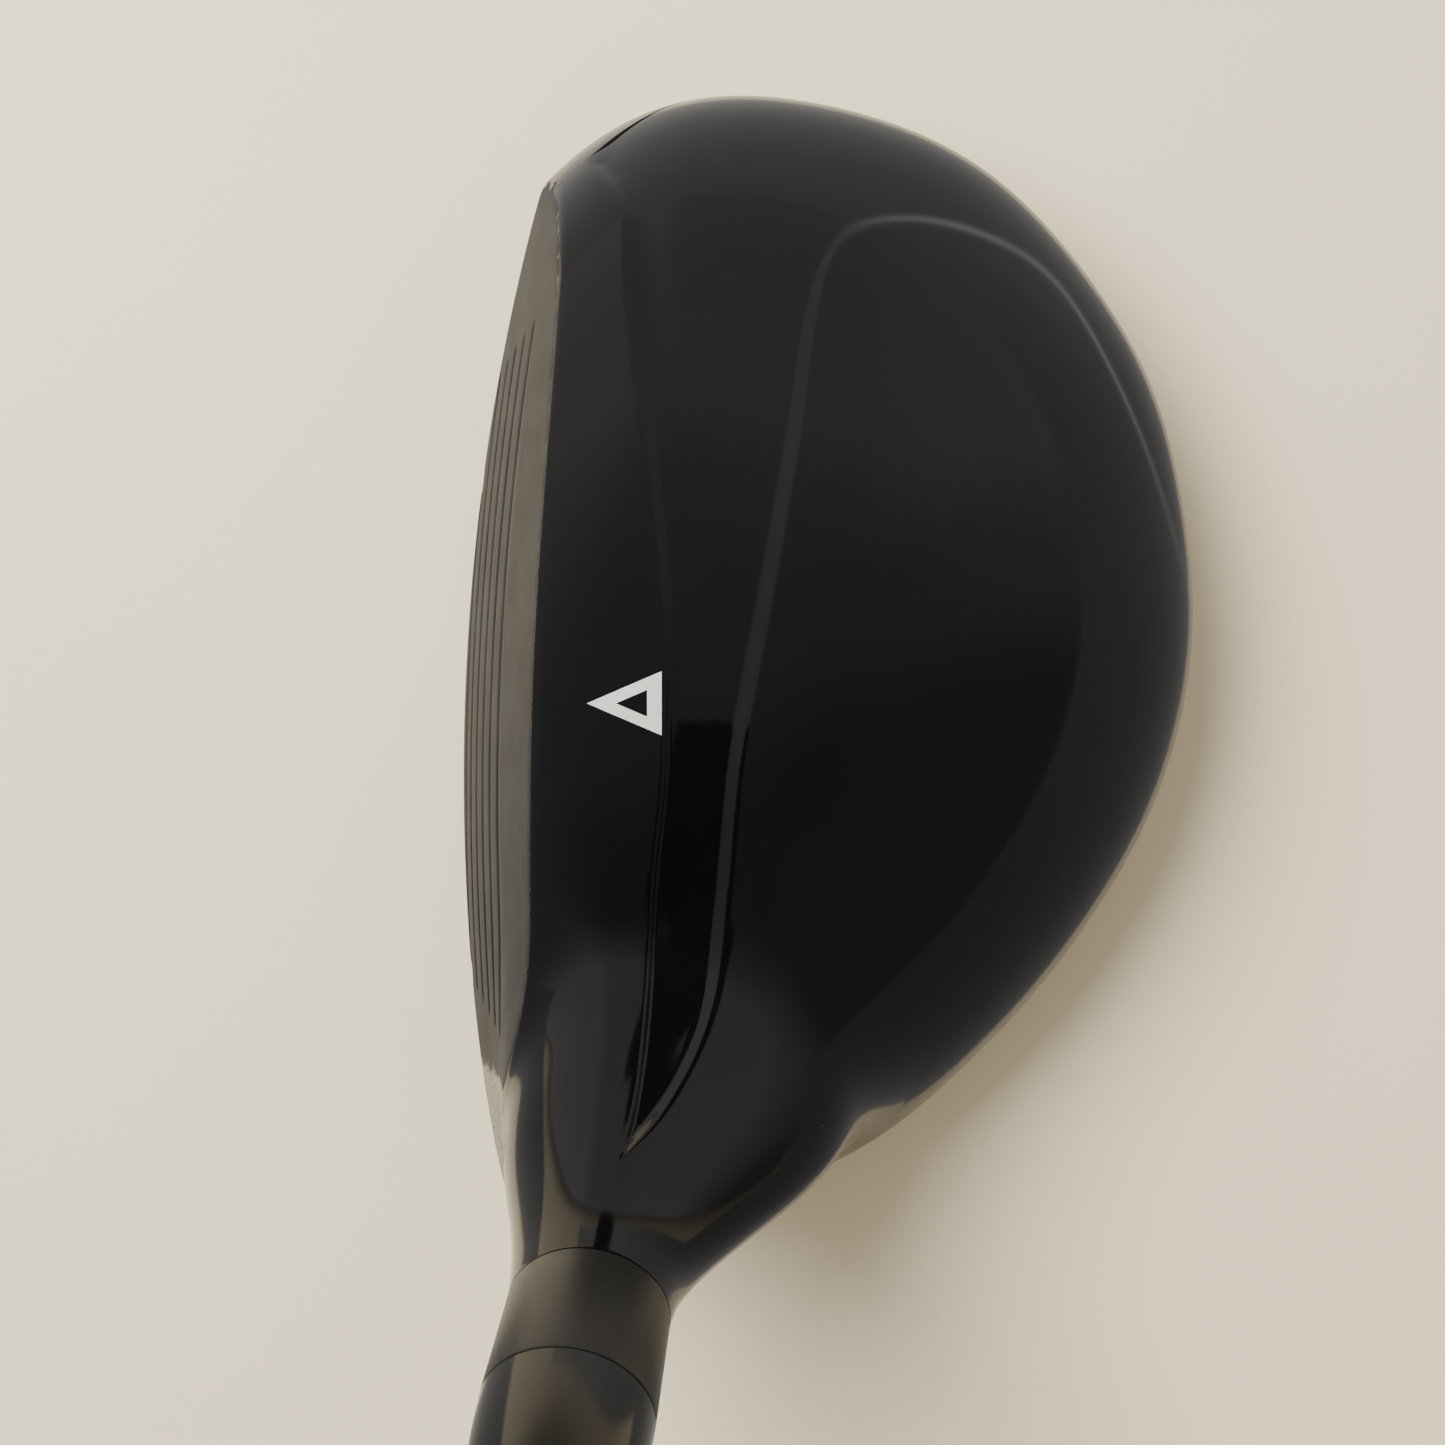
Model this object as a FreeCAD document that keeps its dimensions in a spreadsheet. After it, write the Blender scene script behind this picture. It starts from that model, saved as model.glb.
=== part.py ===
import FreeCAD, Part
import math
import os
import Sketcher
from FreeCAD import Placement, Rotation, Vector

# A right-handed hybrid golf club at address. The origin is the flat land in the middle of the
# sole, +Z is up, +Y points to the toe, -X is the target side (the face) and the shaft rises
# towards -Y. Lengths are millimetres.

doc = FreeCAD.newDocument("hybrid_club")
sheet = doc.addObject("Spreadsheet::Sheet", "sizes")

DIMENSIONS = [
    # lie, loft and where the head's top ring seam sits
    ("lie_angle", 60), ("loft_angle", 21.5),
    ("seam_across", -10), ("seam_along", -46), ("seam_height", 50),
    # head form
    ("crown_height", 37), ("waist_height", 16), ("sole_sink", 0.05),
    ("crown_wall", 1.0), ("side_wall", 1.3), ("sole_wall", 2.2), ("face_wall", 2.4), ("neck_wall", 1.5),
    ("face_radius", 290), ("face_across", -24.1), ("face_along", -5.5), ("face_height", 21),
    ("sole_radius_front", 200), ("sole_radius_back", 110), ("sole_radius_side", 170),
    # score lines
    ("groove_count", 7), ("groove_pitch", 3.8), ("groove_width", 0.85), ("groove_depth", 0.4),
    ("groove_length", 62), ("groove_shorter", 1.6), ("groove_top", 4.1), ("groove_along", 5),
    # hosel, measured down from the seam
    ("hosel_radius", 6.6), ("bore_radius", 5.6), ("bore_depth", 30), ("nose_bore_radius", 4.65),
    ("shelf_top", 35.5), ("shelf_bottom", 38.5), ("shelf_hole_radius", 2.8), ("port_radius", 4.3),
    # adapter sleeve and ferrule, measured up from the seam
    ("collar_height", 11.7), ("collar_top_radius", 6.9), ("stem_radius", 5.5), ("stem_depth", 29),
    ("nose_radius", 4.5), ("nose_depth", 34), ("insert_radius", 3.4), ("insert_length", 8),
    ("thread_radius", 2.6), ("tip_depth", 24.5), ("tip_radius", 4.7), ("tip_fit", 0.02),
    ("ferrule_height", 21), ("ferrule_top_radius", 4.95), ("ferrule_belt_radius", 6.8), ("ferrule_belt", 4),
    ("ferrule_knee_radius", 5.85), ("ferrule_knee", 14.7),
    # bolt, its washer and its captive ring
    ("bolt_radius", 2.45), ("bolt_head_radius", 3.7), ("bolt_head_height", 3.4), ("bolt_reach", 11.5),
    ("bolt_chamfer", 0.5), ("bolt_point", 0.6), ("drive_radius", 2.1), ("drive_depth", 2.3),
    ("washer_thickness", 0.8), ("washer_play", 0.15), ("washer_brim", 0.1), ("seat_gap", 0.04),
    ("retainer_depth", 51), ("retainer_thickness", 1.6), ("retainer_hole_radius", 3.0),
    # shaft and grip, measured up from the seam
    ("shaft_length", 985), ("tip_parallel", 75), ("butt_radius", 7.6), ("shaft_wall", 1.1),
    ("tip_wall", 1.76), ("plug_length", 18), ("plug_point", 2), ("plug_point_radius", 1.8),
    ("butt_plug_length", 14), ("butt_plug_hole_radius", 2), ("butt_plug_taper", 0.12),
    ("grip_length", 268), ("tape_thickness", 0.35), ("tape_setback", 4), ("grip_mouth_radius", 9.3),
    ("grip_lip_radius", 10.3), ("grip_lip", 22), ("grip_butt_radius", 13.2), ("grip_shoulder", 30),
    ("cap_radius", 13.9), ("cap_height", 6), ("cap_seat_radius", 13.6), ("cap_rim", 1.5),
    ("cap_shoulder_radius", 13.1), ("cap_shoulder", 4.2), ("cap_top_radius", 9.9), ("vent_radius", 1.5),
    # rear weight
    ("weight_across", 23), ("weight_along", 4), ("weight_tilt", 16), ("weight_face", 1.6),
    ("weight_radius", 7), ("weight_flange", 2.4), ("weight_thread_radius", 4.9), ("weight_thread", 6),
    ("weight_chamfer", 0.5), ("weight_drive_radius", 2.9), ("weight_drive_depth", 3), ("weight_gap", 0.15),
    ("weight_washer_thickness", 0.6), ("weight_washer_radius", 6.8), ("weight_hole_spare", 0.6),
    ("weight_boss", 2.2), ("weight_boss_height", 4.5), ("weight_stud", 1.4), ("weight_stud_height", 11),
    # sole badge and ballast
    ("badge_thickness", 0.7), ("bar_width", 7), ("bar_length", 36), ("bar_height", 7.5),
    ("bar_across", -16), ("bar_along", -8), ("pad_radius", 12), ("pad_across", 4), ("pad_along", 40),
    ("pad_height", -1.5),
]
value = {}
for line, (alias, number) in enumerate(DIMENSIONS, 1):
    sheet.set(f"A{line}", alias)
    sheet.set(f"B{line}", str(number))
    sheet.setAlias(f"B{line}", alias)
    value[alias] = number
doc.recompute()


class Size:
    """A length that knows its number and the spreadsheet expression that gives it."""

    def __init__(self, number, text):
        self.number, self.text = number, text

    def __add__(self, other):
        other = as_size(other)
        return Size(self.number + other.number, f"({self.text} + {other.text})")

    def __sub__(self, other):
        other = as_size(other)
        return Size(self.number - other.number, f"({self.text} - {other.text})")

    def __mul__(self, factor):
        return Size(self.number * factor, f"({self.text} * {factor})")

    def __neg__(self):
        return self * -1


def as_size(thing):
    """A Size as it is, a sheet's alias, or a plain number."""
    if isinstance(thing, Size):
        return thing
    if isinstance(thing, str):
        return Size(value[thing], f"sizes.{thing}")
    return Size(thing, str(thing))


def sized(alias):
    return as_size(alias)


# ---------------------------------------------------------------- places

seam = Vector(value["seam_across"], value["seam_along"], value["seam_height"])
lean = 90 - value["lie_angle"]
shaft_place = Placement(seam, Rotation(Vector(1, 0, 0), lean))
down_shaft = shaft_place.Rotation.multVec(Vector(0, 0, -1))
crown_side = shaft_place.Rotation.multVec(Vector(0, 1, 0))

weight_place = Placement(
    Vector(value["weight_across"], value["weight_along"], value["weight_face"]),
    Rotation(Vector(0, 1, 0), -value["weight_tilt"]),
)


def stand_on_shaft(thing):
    """Put a piece made along its own Z on the shaft's axis, with its zero at the seam."""
    for letter, alias in (("x", "seam_across"), ("y", "seam_along"), ("z", "seam_height")):
        thing.setExpression(f"Placement.Base.{letter}", f"sizes.{alias}")
    thing.Placement = shaft_place
    thing.setExpression("Placement.Rotation.Angle", "90 - sizes.lie_angle")


def stand_on_weight_port(thing):
    """Put a piece made along its own Z in the rear weight's port, with its zero at the sole."""
    for letter, alias in (("x", "weight_across"), ("y", "weight_along"), ("z", "weight_face")):
        thing.setExpression(f"Placement.Base.{letter}", f"sizes.{alias}")
    thing.Placement = weight_place
    thing.setExpression("Placement.Rotation.Angle", "-sizes.weight_tilt")


# ---------------------------------------------------------------- turned pieces

# A key socket has six lobes, and its waist between them is this share of its radius.
SOCKET_LOBES, SOCKET_WAIST = 6, 0.74


def origin_plane(body, role):
    return next(part for part in body.Origin.OriginFeatures if part.Role == role)


def fix_corner(sketch, corner, across, up):
    """Tie one corner of a profile to the sheet, by its distances from the sketch's origin."""
    for kind, size in (("DistanceX", across), ("DistanceY", up)):
        if size.number == 0 and size.text == "0":
            axis = -2 if kind == "DistanceX" else -1
            sketch.addConstraint(Sketcher.Constraint("PointOnObject", corner, 1, axis))
            continue
        number = sketch.addConstraint(Sketcher.Constraint(kind, -1, 1, corner, 1, size.number))
        sketch.setExpression(f"Constraints[{number}]", size.text)


def draw_outline(body, name, corners, role):
    """A closed outline of straight lines on one of the body's own planes."""
    sketch = body.newObject("Sketcher::SketchObject", name)
    sketch.AttachmentSupport = (origin_plane(body, role), "")
    sketch.MapMode = "FlatFace"
    sizes = [(as_size(across), as_size(up)) for across, up in corners]
    points = [Vector(across.number, up.number, 0) for across, up in sizes]
    for start, end in zip(points, points[1:] + points[:1]):
        sketch.addGeometry(Part.LineSegment(start, end), False)
    for line in range(len(points)):
        after = (line + 1) % len(points)
        sketch.addConstraint(Sketcher.Constraint("Coincident", line, 2, after, 1))
    for corner, (across, up) in enumerate(sizes):
        fix_corner(sketch, corner, across, up)
    return sketch


def turned(label, corners, stand):
    """A body of revolution: corners are (radius, height) round its own Z axis."""
    body = doc.addObject("PartDesign::Body", label)
    body.Label = label
    sketch = draw_outline(body, label + "_profile", corners, "XZ_Plane")
    turn = body.newObject("PartDesign::Revolution", label + "_turn")
    turn.Profile = sketch
    turn.ReferenceAxis = (sketch, ["V_Axis"])
    turn.Angle = 360
    sketch.Visibility = False
    stand(body)
    doc.recompute()
    return body


def star_socket(body, floor, height, radius, depth, up):
    """A six-lobed key socket in the end of a turned body."""
    sketch = body.newObject("Sketcher::SketchObject", body.Label + "_socket_outline")
    sketch.AttachmentSupport = (origin_plane(body, "XY_Plane"), "")
    sketch.MapMode = "FlatFace"
    sketch.AttachmentOffset = Placement(Vector(0, 0, floor), Rotation())
    corners = []
    for step in range(2 * SOCKET_LOBES):
        reach = radius * (1 if step % 2 == 0 else SOCKET_WAIST)
        angle = math.pi * step / SOCKET_LOBES
        corners.append(Vector(reach * math.cos(angle), reach * math.sin(angle), 0))
    for start, end in zip(corners, corners[1:] + corners[:1]):
        sketch.addGeometry(Part.LineSegment(start, end), False)
    sketch.setExpression(".AttachmentOffset.Base.z", height.text)
    before = body.Shape.Volume
    pocket = body.newObject("PartDesign::Pocket", body.Label + "_socket")
    pocket.Profile = sketch
    pocket.Reversed = up
    pocket.setExpression("Length", depth.text)
    sketch.Visibility = False
    doc.recompute()
    if body.Shape.Volume > before - 1:
        raise RuntimeError(f"the socket of {body.Label} cut nothing")
    return body


# ---------------------------------------------------------------- shaft side

def make_adapter_sleeve():
    """Collar, stem and nose in one turned sleeve, bored for the shaft's tip and for its insert."""
    tip_bore = sized("tip_radius") + "tip_fit"
    insert_top = sized("insert_length") - "nose_depth"
    return turned("adapter_sleeve", [
        ("stem_radius", -sized("stem_depth")), ("stem_radius", 0), ("hosel_radius", 0),
        ("collar_top_radius", "collar_height"), (tip_bore, "collar_height"),
        (tip_bore, -sized("tip_depth")), ("thread_radius", -sized("tip_depth")),
        ("thread_radius", insert_top), ("insert_radius", insert_top),
        ("insert_radius", -sized("nose_depth")), ("nose_radius", -sized("nose_depth")),
        ("nose_radius", -sized("stem_depth")),
    ], stand_on_shaft)


def make_thread_insert():
    bottom = -sized("nose_depth")
    top = sized("insert_length") - sized("nose_depth")
    return turned("thread_insert", [
        ("thread_radius", bottom), ("insert_radius", bottom), ("insert_radius", top), ("thread_radius", top),
    ], stand_on_shaft)


def make_ferrule():
    foot = sized("collar_height")
    inner = sized("tip_radius") + "tip_fit"
    return turned("ferrule", [
        (inner, foot), ("collar_top_radius", foot), ("ferrule_belt_radius", foot + "ferrule_belt"),
        ("ferrule_knee_radius", foot + "ferrule_knee"),
        ("ferrule_top_radius", foot + "ferrule_height"), (inner, foot + "ferrule_height"),
    ], stand_on_shaft)


def make_shaft():
    """A parallel tip and a straight taper up to the butt, hollow from end to end."""
    foot = -sized("tip_depth")
    knee = sized("tip_parallel") - sized("tip_depth")
    top = sized("shaft_length") - sized("tip_depth")
    inside = sized("tip_radius") - "tip_wall"
    return turned("shaft", [
        (inside, foot), ("tip_radius", foot), ("tip_radius", knee), ("butt_radius", top),
        (sized("butt_radius") - "shaft_wall", top), (inside, knee),
    ], stand_on_shaft)


def make_swing_weight_plug():
    foot = -sized("tip_depth")
    inside = sized("tip_radius") - "tip_wall"
    point = foot + "plug_length" + "plug_point"
    return turned("swing_weight_plug", [
        (0, foot), (inside, foot), (inside, foot + "plug_length"), ("plug_point_radius", point), (0, point),
    ], stand_on_shaft)


def shaft_radius_at(below_butt):
    """The shaft's outer radius at a distance below its butt end."""
    taper = (value["butt_radius"] - value["tip_radius"]) / (value["shaft_length"] - value["tip_parallel"])
    return value["butt_radius"] - taper * below_butt


def make_butt_plug():
    top = sized("shaft_length") - sized("tip_depth")
    foot = top - "butt_plug_length"
    inside = sized("butt_radius") - "shaft_wall"
    return turned("butt_plug", [
        ("butt_plug_hole_radius", foot), (inside - "butt_plug_taper", foot), (inside, top),
        ("butt_plug_hole_radius", top),
    ], stand_on_shaft)


def make_grip_tape():
    top = sized("shaft_length") - sized("tip_depth")
    foot = top - "grip_length" + "tape_setback"
    inner = shaft_radius_at(value["grip_length"] - value["tape_setback"])
    return turned("grip_tape", [
        (inner, foot), (sized("tape_thickness") + inner, foot),
        (sized("butt_radius") + "tape_thickness", top), ("butt_radius", top),
    ], stand_on_shaft)


def make_grip():
    """A tapered rubber sleeve from its mouth up to the cap's seat at the butt."""
    top = sized("shaft_length") - sized("tip_depth")
    mouth = top - "grip_length"
    tape_foot = mouth + "tape_setback"
    inner = shaft_radius_at(value["grip_length"] - value["tape_setback"])
    return turned("grip", [
        (shaft_radius_at(value["grip_length"]), mouth), ("grip_mouth_radius", mouth),
        ("grip_lip_radius", mouth + "grip_lip"), ("grip_butt_radius", top - "grip_shoulder"),
        ("cap_seat_radius", top), (sized("butt_radius") + "tape_thickness", top),
        (sized("tape_thickness") + inner, tape_foot), (inner, tape_foot),
    ], stand_on_shaft)


def make_grip_cap():
    top = sized("shaft_length") - sized("tip_depth")
    return turned("grip_cap", [
        ("vent_radius", top), ("cap_seat_radius", top), ("cap_radius", top + "cap_rim"),
        ("cap_shoulder_radius", top + "cap_shoulder"), ("cap_top_radius", top + "cap_height"),
        ("vent_radius", top + "cap_height"),
    ], stand_on_shaft)


# ---------------------------------------------------------------- bolt and weight

def make_bolt_washer():
    seat = -sized("shelf_bottom") - "seat_gap"
    inner = sized("bolt_radius") + "washer_play"
    outer = sized("bolt_head_radius") + "washer_brim"
    return turned("bolt_washer", [
        (inner, seat - "washer_thickness"), (outer, seat - "washer_thickness"), (outer, seat), (inner, seat),
    ], stand_on_shaft)


def make_hosel_bolt():
    seat = -sized("shelf_bottom") - "washer_thickness" - sized("seat_gap") * 2
    floor = seat - "bolt_head_height"
    point = seat + "bolt_reach" + "bolt_point"
    bolt = turned("hosel_bolt", [
        (0, floor), (sized("bolt_head_radius") - "bolt_chamfer", floor),
        ("bolt_head_radius", floor + "bolt_chamfer"), ("bolt_head_radius", seat),
        ("bolt_radius", seat), ("bolt_radius", seat + "bolt_reach"),
        (sized("bolt_radius") - "bolt_point", point), (0, point),
    ], stand_on_shaft)
    return star_socket(bolt, floor.number, floor, value["drive_radius"], sized("drive_depth"), True)


def make_bolt_retainer():
    top = -sized("retainer_depth")
    return turned("bolt_retainer", [
        ("retainer_hole_radius", top - "retainer_thickness"), ("port_radius", top - "retainer_thickness"),
        ("port_radius", top), ("retainer_hole_radius", top),
    ], stand_on_shaft)


def make_weight_washer():
    foot = sized("weight_flange") + "seat_gap"
    top = foot + "weight_washer_thickness"
    inner = sized("weight_thread_radius") + "washer_play"
    return turned("weight_washer", [
        (inner, foot), ("weight_washer_radius", foot), ("weight_washer_radius", top), (inner, top),
    ], stand_on_weight_port)


def make_rear_weight():
    """A flanged weight with a threaded shank and a key socket in its outer face."""
    flange = sized("weight_flange")
    weight = turned("rear_weight", [
        (0, 0), (sized("weight_radius") - "weight_chamfer", 0), ("weight_radius", "weight_chamfer"),
        ("weight_radius", flange),
        ("weight_thread_radius", flange), ("weight_thread_radius", flange + "weight_thread"),
        (0, flange + "weight_thread"),
    ], stand_on_weight_port)
    outer_face = as_size(0)
    radius, depth = value["weight_drive_radius"], sized("weight_drive_depth")
    return star_socket(weight, outer_face.number, outer_face, radius, depth, True)


# ---------------------------------------------------------------- head form

# The head's waist seen from above, from the toe round the back, the heel and a front that the
# face then cuts off.
WAIST = [
    (-3, 58.7), (12, 55.6), (24.3, 47.6), (33.8, 34.7), (38.6, 18), (38.5, 4), (34.3, -9), (26.5, -21.3),
    (17.2, -31.3), (8.5, -37.6), (-2, -41), (-12, -42.4), (-30, -40), (-40, -25), (-43, 0), (-38.5, 22),
    (-27.5, 42), (-16.5, 53.5),
]
MIDDLE = Vector(0, 8, 0)
# The crown stays flat towards the face and falls away early towards the back: its power runs
# from the sum of these two at the front to their difference at the back.
CROWN_POWER, CROWN_POWER_SWING = 3.35, 1.15
CROWN_ROUNDING = 0.72
SOLE_POWERS = (4.5, 0.7)
ROUND_STEPS, DOWN_STEPS = 40, 28

# The neck's cross sections: how far below the seam, then its reach to the front, to the back,
# to the crown side and to the heel side of the shaft's axis.
NECK = [
    (0, 6.6, 6.6, 6.6, 6.6), (4, 7.0, 7.2, 7.0, 6.8), (9, 7.9, 9.8, 8.2, 7.0),
    (15, 9.4, 14.3, 10.5, 7.3), (22, 10.5, 17.5, 14, 7.5), (32, 10.5, 15, 18, 7.5),
]
RING_POINTS = 24
# A box this wide holds the whole head.
WIDE = 200
# Cutting tools run this far above the seam and this far down past the sole.
TOOL_TOP, TOOL_BOTTOM = -5, 70

CROWN_PANEL = [
    (-5.8, 12), (-6, -9), (-6.8, -18), (2, -21), (17, -20), (28, -8), (33, 8), (30, 27), (20, 41.5),
    (6, 48.5), (-5, 46), (-7, 30),
]
FACE_PLATE = [
    (-24, -4), (-13, -10), (9, -13), (34, -12), (47, -3), (42, 8), (20, 13), (-6, 13), (-22, 6),
]
BADGE = [(6, 22), (11, 25), (13.5, 18), (13.5, -9), (10, -18), (6, -15), (7.5, 2)]
# The heights between which the panel and badge outlines cut, and how deep the plate's cuts.
PANEL_HEIGHTS, BADGE_HEIGHTS, PLATE_REACH = (20, 80), (-5, 6), 6


def closed_curve(points):
    curve = Part.BSplineCurve()
    curve.interpolate(points, PeriodicFlag=True)
    return curve


def flat_region(outline, low, high):
    """A prism over a closed smooth plan outline, between two heights."""
    wire = Part.Wire(closed_curve([Vector(across, along, low) for across, along in outline]).toShape())
    return Part.Face(wire).extrude(Vector(0, 0, high - low))


def blank(side, top, sole):
    """The head without its face cut and neck, drawn in by the given wall thicknesses."""
    curve = closed_curve([Vector(across, along, 0) for across, along in WAIST])
    first, last = curve.FirstParameter, curve.LastParameter
    rim = [curve.value(first + (last - first) * step / ROUND_STEPS) - MIDDLE for step in range(ROUND_STEPS)]
    waist = value["waist_height"]
    rows = []
    for down in range(DOWN_STEPS + 1):
        turn = math.pi * down / DOWN_STEPS
        share = 0 if down in (0, DOWN_STEPS) else math.sin(turn)
        row = []
        for reach in rim + rim[:1]:
            spot = MIDDLE + reach * (share * (1 - side / reach.Length))
            if 2 * down <= DOWN_STEPS:
                power = CROWN_POWER - CROWN_POWER_SWING * reach.x / reach.Length
                fade = max(0, 1 - share ** power) ** CROWN_ROUNDING
                height = waist + (value["crown_height"] - top - waist) * fade
            else:
                radius = value["sole_radius_front"] if spot.x < 0 else value["sole_radius_back"]
                camber = spot.x ** 2 / (2 * radius) + spot.y ** 2 / (2 * value["sole_radius_side"])
                base = camber - value["sole_sink"] + sole
                fade = max(0, 1 - share ** SOLE_POWERS[0]) ** SOLE_POWERS[1]
                height = waist - (waist - base) * fade
            row.append(Vector(spot.x, spot.y, height))
        rows.append(row)
    surface = Part.BSplineSurface()
    surface.interpolate(rows)
    solid = Part.Solid(Part.Shell([surface.toShape()]))
    if solid.Volume < 0:
        solid.reverse()
    return solid


def neck_ring(down, front, back, crown, heel):
    """One closed cross section of the neck, square to the shaft's axis."""
    points = []
    for step in range(RING_POINTS):
        angle = 2 * math.pi * step / RING_POINTS
        across, up = math.cos(angle), math.sin(angle)
        reach_across = across * (back if across > 0 else front)
        reach_up = up * (crown if up > 0 else heel)
        points.append(seam + down_shaft * down + Vector(reach_across, 0, 0) + crown_side * reach_up)
    return Part.Wire(closed_curve(points).toShape())


def neck(wall, sections):
    rings = [neck_ring(section[0], *[reach - wall for reach in section[1:]]) for section in sections]
    return Part.makeLoft(rings, True, False)


def down_cylinder(radius, start, end):
    """A cylinder on the shaft's axis between two depths below the seam."""
    return Part.makeCylinder(radius, end - start, seam + down_shaft * start, down_shaft)


def face_frame():
    loft = math.radians(value["loft_angle"])
    ahead = Vector(-math.cos(loft), 0, math.sin(loft))
    up = Vector(math.sin(loft), 0, math.cos(loft))
    centre = Vector(value["face_across"], value["face_along"], value["face_height"])
    return centre, ahead, up


def face_ball(depth):
    """Everything behind the bulged and rolled face, drawn back by a depth."""
    centre, ahead, up = face_frame()
    radius = value["face_radius"]
    return Part.makeSphere(radius - depth, centre - ahead * radius)


def weight_cylinder(radius, start, end):
    axis = weight_place.Rotation.multVec(Vector(0, 0, 1))
    return Part.makeCylinder(radius, end - start, weight_place.Base + axis * start, axis)


def make_head_shapes():
    """The outer form, the hollow and the regions that split the wall into welded pieces."""
    above_ground = Part.makeBox(WIDE, WIDE, WIDE, Vector(-WIDE / 2, -WIDE / 2, 0))
    outer = blank(0, 0, 0).common(face_ball(0)).fuse(neck(0, NECK)).common(above_ground)
    hollow = blank(value["side_wall"], value["crown_wall"], value["sole_wall"])
    hollow = hollow.common(face_ball(value["face_wall"])).fuse(neck(value["neck_wall"], NECK[1:]))
    tube = down_cylinder(value["hosel_radius"], TOOL_TOP, TOOL_BOTTOM)
    boss_radius = value["weight_radius"] + value["weight_boss"]
    stud_radius = value["weight_thread_radius"] + value["weight_stud"]
    boss = weight_cylinder(boss_radius, TOOL_TOP, value["weight_boss_height"])
    stud = weight_cylinder(stud_radius, TOOL_TOP, value["weight_stud_height"])
    hollow = hollow.cut(tube).cut(boss).cut(stud)
    return outer, hollow


def hosel_cut():
    """Bore, nose bore, bolt hole and the port that opens in the sole."""
    steps = [
        ("bore_radius", TOOL_TOP, "bore_depth"), ("nose_bore_radius", "bore_depth", "shelf_top"),
        ("shelf_hole_radius", "shelf_top", "shelf_bottom"), ("port_radius", "shelf_bottom", TOOL_BOTTOM),
    ]
    cuts = [down_cylinder(value[radius], as_size(start).number, as_size(end).number)
            for radius, start, end in steps]
    return cuts[0].multiFuse(cuts[1:])


def weight_cut():
    """The rear weight's recess and threaded hole."""
    gap = value["weight_gap"]
    seat = value["weight_flange"] + value["weight_washer_thickness"] + 2 * value["seat_gap"]
    recess = weight_cylinder(value["weight_radius"] + gap, TOOL_TOP, seat)
    hole_end = seat + value["weight_thread"] + value["weight_hole_spare"]
    hole = weight_cylinder(value["weight_thread_radius"] + gap, 0, hole_end)
    return recess.fuse(hole)


def groove_cut():
    """Straight score lines of even depth in the curved face."""
    centre, ahead, up = face_frame()
    middle = Vector(centre.x, value["groove_along"], centre.z)
    width = value["groove_width"]
    bars = []
    for line in range(int(value["groove_count"])):
        rise = value["groove_top"] - line * value["groove_pitch"]
        length = value["groove_length"] - value["groove_shorter"] * line
        corner = Vector(-PLATE_REACH, -length / 2, -width / 2)
        bar = Part.makeBox(2 * PLATE_REACH, length, width, corner)
        bar.Placement = Placement(middle + up * rise, Rotation(Vector(0, 1, 0), value["loft_angle"]))
        bars.append(bar)
    return bars[0].multiFuse(bars[1:]).cut(face_ball(value["groove_depth"]))


def face_region():
    """A prism square to the face over the welded plate's outline."""
    centre, ahead, up = face_frame()
    back = centre - ahead * PLATE_REACH
    points = [back + Vector(0, along, 0) + up * rise for along, rise in FACE_PLATE]
    wire = Part.Wire(closed_curve(points).toShape())
    return Part.Face(wire).extrude(ahead * 2 * PLATE_REACH)


def held(label, shape):
    """A document object for a free-form piece."""
    piece = doc.addObject("Part::Feature", label)
    piece.Label = label
    piece.Shape = shape
    piece.Placement = Placement()
    return piece


def make_head():
    outer, hollow = make_head_shapes()
    wall = outer.cut(hollow)
    crown_area = flat_region(CROWN_PANEL, *PANEL_HEIGHTS)
    face_area = face_region()
    above_badge = outer.translated(Vector(0, 0, value["badge_thickness"]))
    badge_area = flat_region(BADGE, *BADGE_HEIGHTS).cut(above_badge)
    badge = wall.common(badge_area)
    crown = wall.common(crown_area)
    plate = wall.common(face_area).cut(groove_cut())
    body = wall.cut(crown_area).cut(face_area).cut(badge_area).cut(hosel_cut()).cut(weight_cut())
    tube = down_cylinder(value["hosel_radius"] + value["weight_gap"], TOOL_TOP, TOOL_BOTTOM)
    inside = hollow.cut(tube)
    bar_corner = Vector(value["bar_across"], value["bar_along"], 0)
    ballast_box = Part.makeBox(value["bar_width"], value["bar_length"], value["bar_height"], bar_corner)
    pad_centre = Vector(value["pad_across"], value["pad_along"], value["pad_height"])
    blob = Part.makeSphere(value["pad_radius"], pad_centre)
    return [
        held("head_body", body), held("face_insert", plate), held("crown_shell", crown),
        held("sole_badge", badge), held("tungsten_bar", inside.common(ballast_box)),
        held("hot_melt_pad", inside.common(blob)),
    ]


# ---------------------------------------------------------------- assembly

pieces = [
    make_adapter_sleeve(), make_thread_insert(), make_ferrule(), make_shaft(), make_swing_weight_plug(),
    make_butt_plug(), make_grip_tape(), make_grip(), make_grip_cap(), make_bolt_washer(),
    make_hosel_bolt(), make_bolt_retainer(), make_weight_washer(), make_rear_weight(),
] + make_head()
doc.recompute()

for thing in doc.Objects:
    if "Invalid" in thing.State or "Error" in thing.State:
        raise RuntimeError(f"{thing.Label} did not compute: {thing.State}")
for piece in pieces:
    if piece.Shape.isNull() or not piece.Shape.isValid():
        raise RuntimeError(f"{piece.Label} has no sound shape")

os.makedirs("parts", exist_ok=True)
for piece in pieces:
    piece.Shape.exportStep(f"parts/{piece.Label}.step")
    solids, volume = len(piece.Shape.Solids), piece.Shape.Volume
    print(f"{piece.Label}: {solids} solid, {volume:.0f} mm3, {piece.Shape.BoundBox}")
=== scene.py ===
import math

import bpy
import numpy as np
from mathutils import Matrix, Vector
from mathutils.bvhtree import BVHTree


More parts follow.
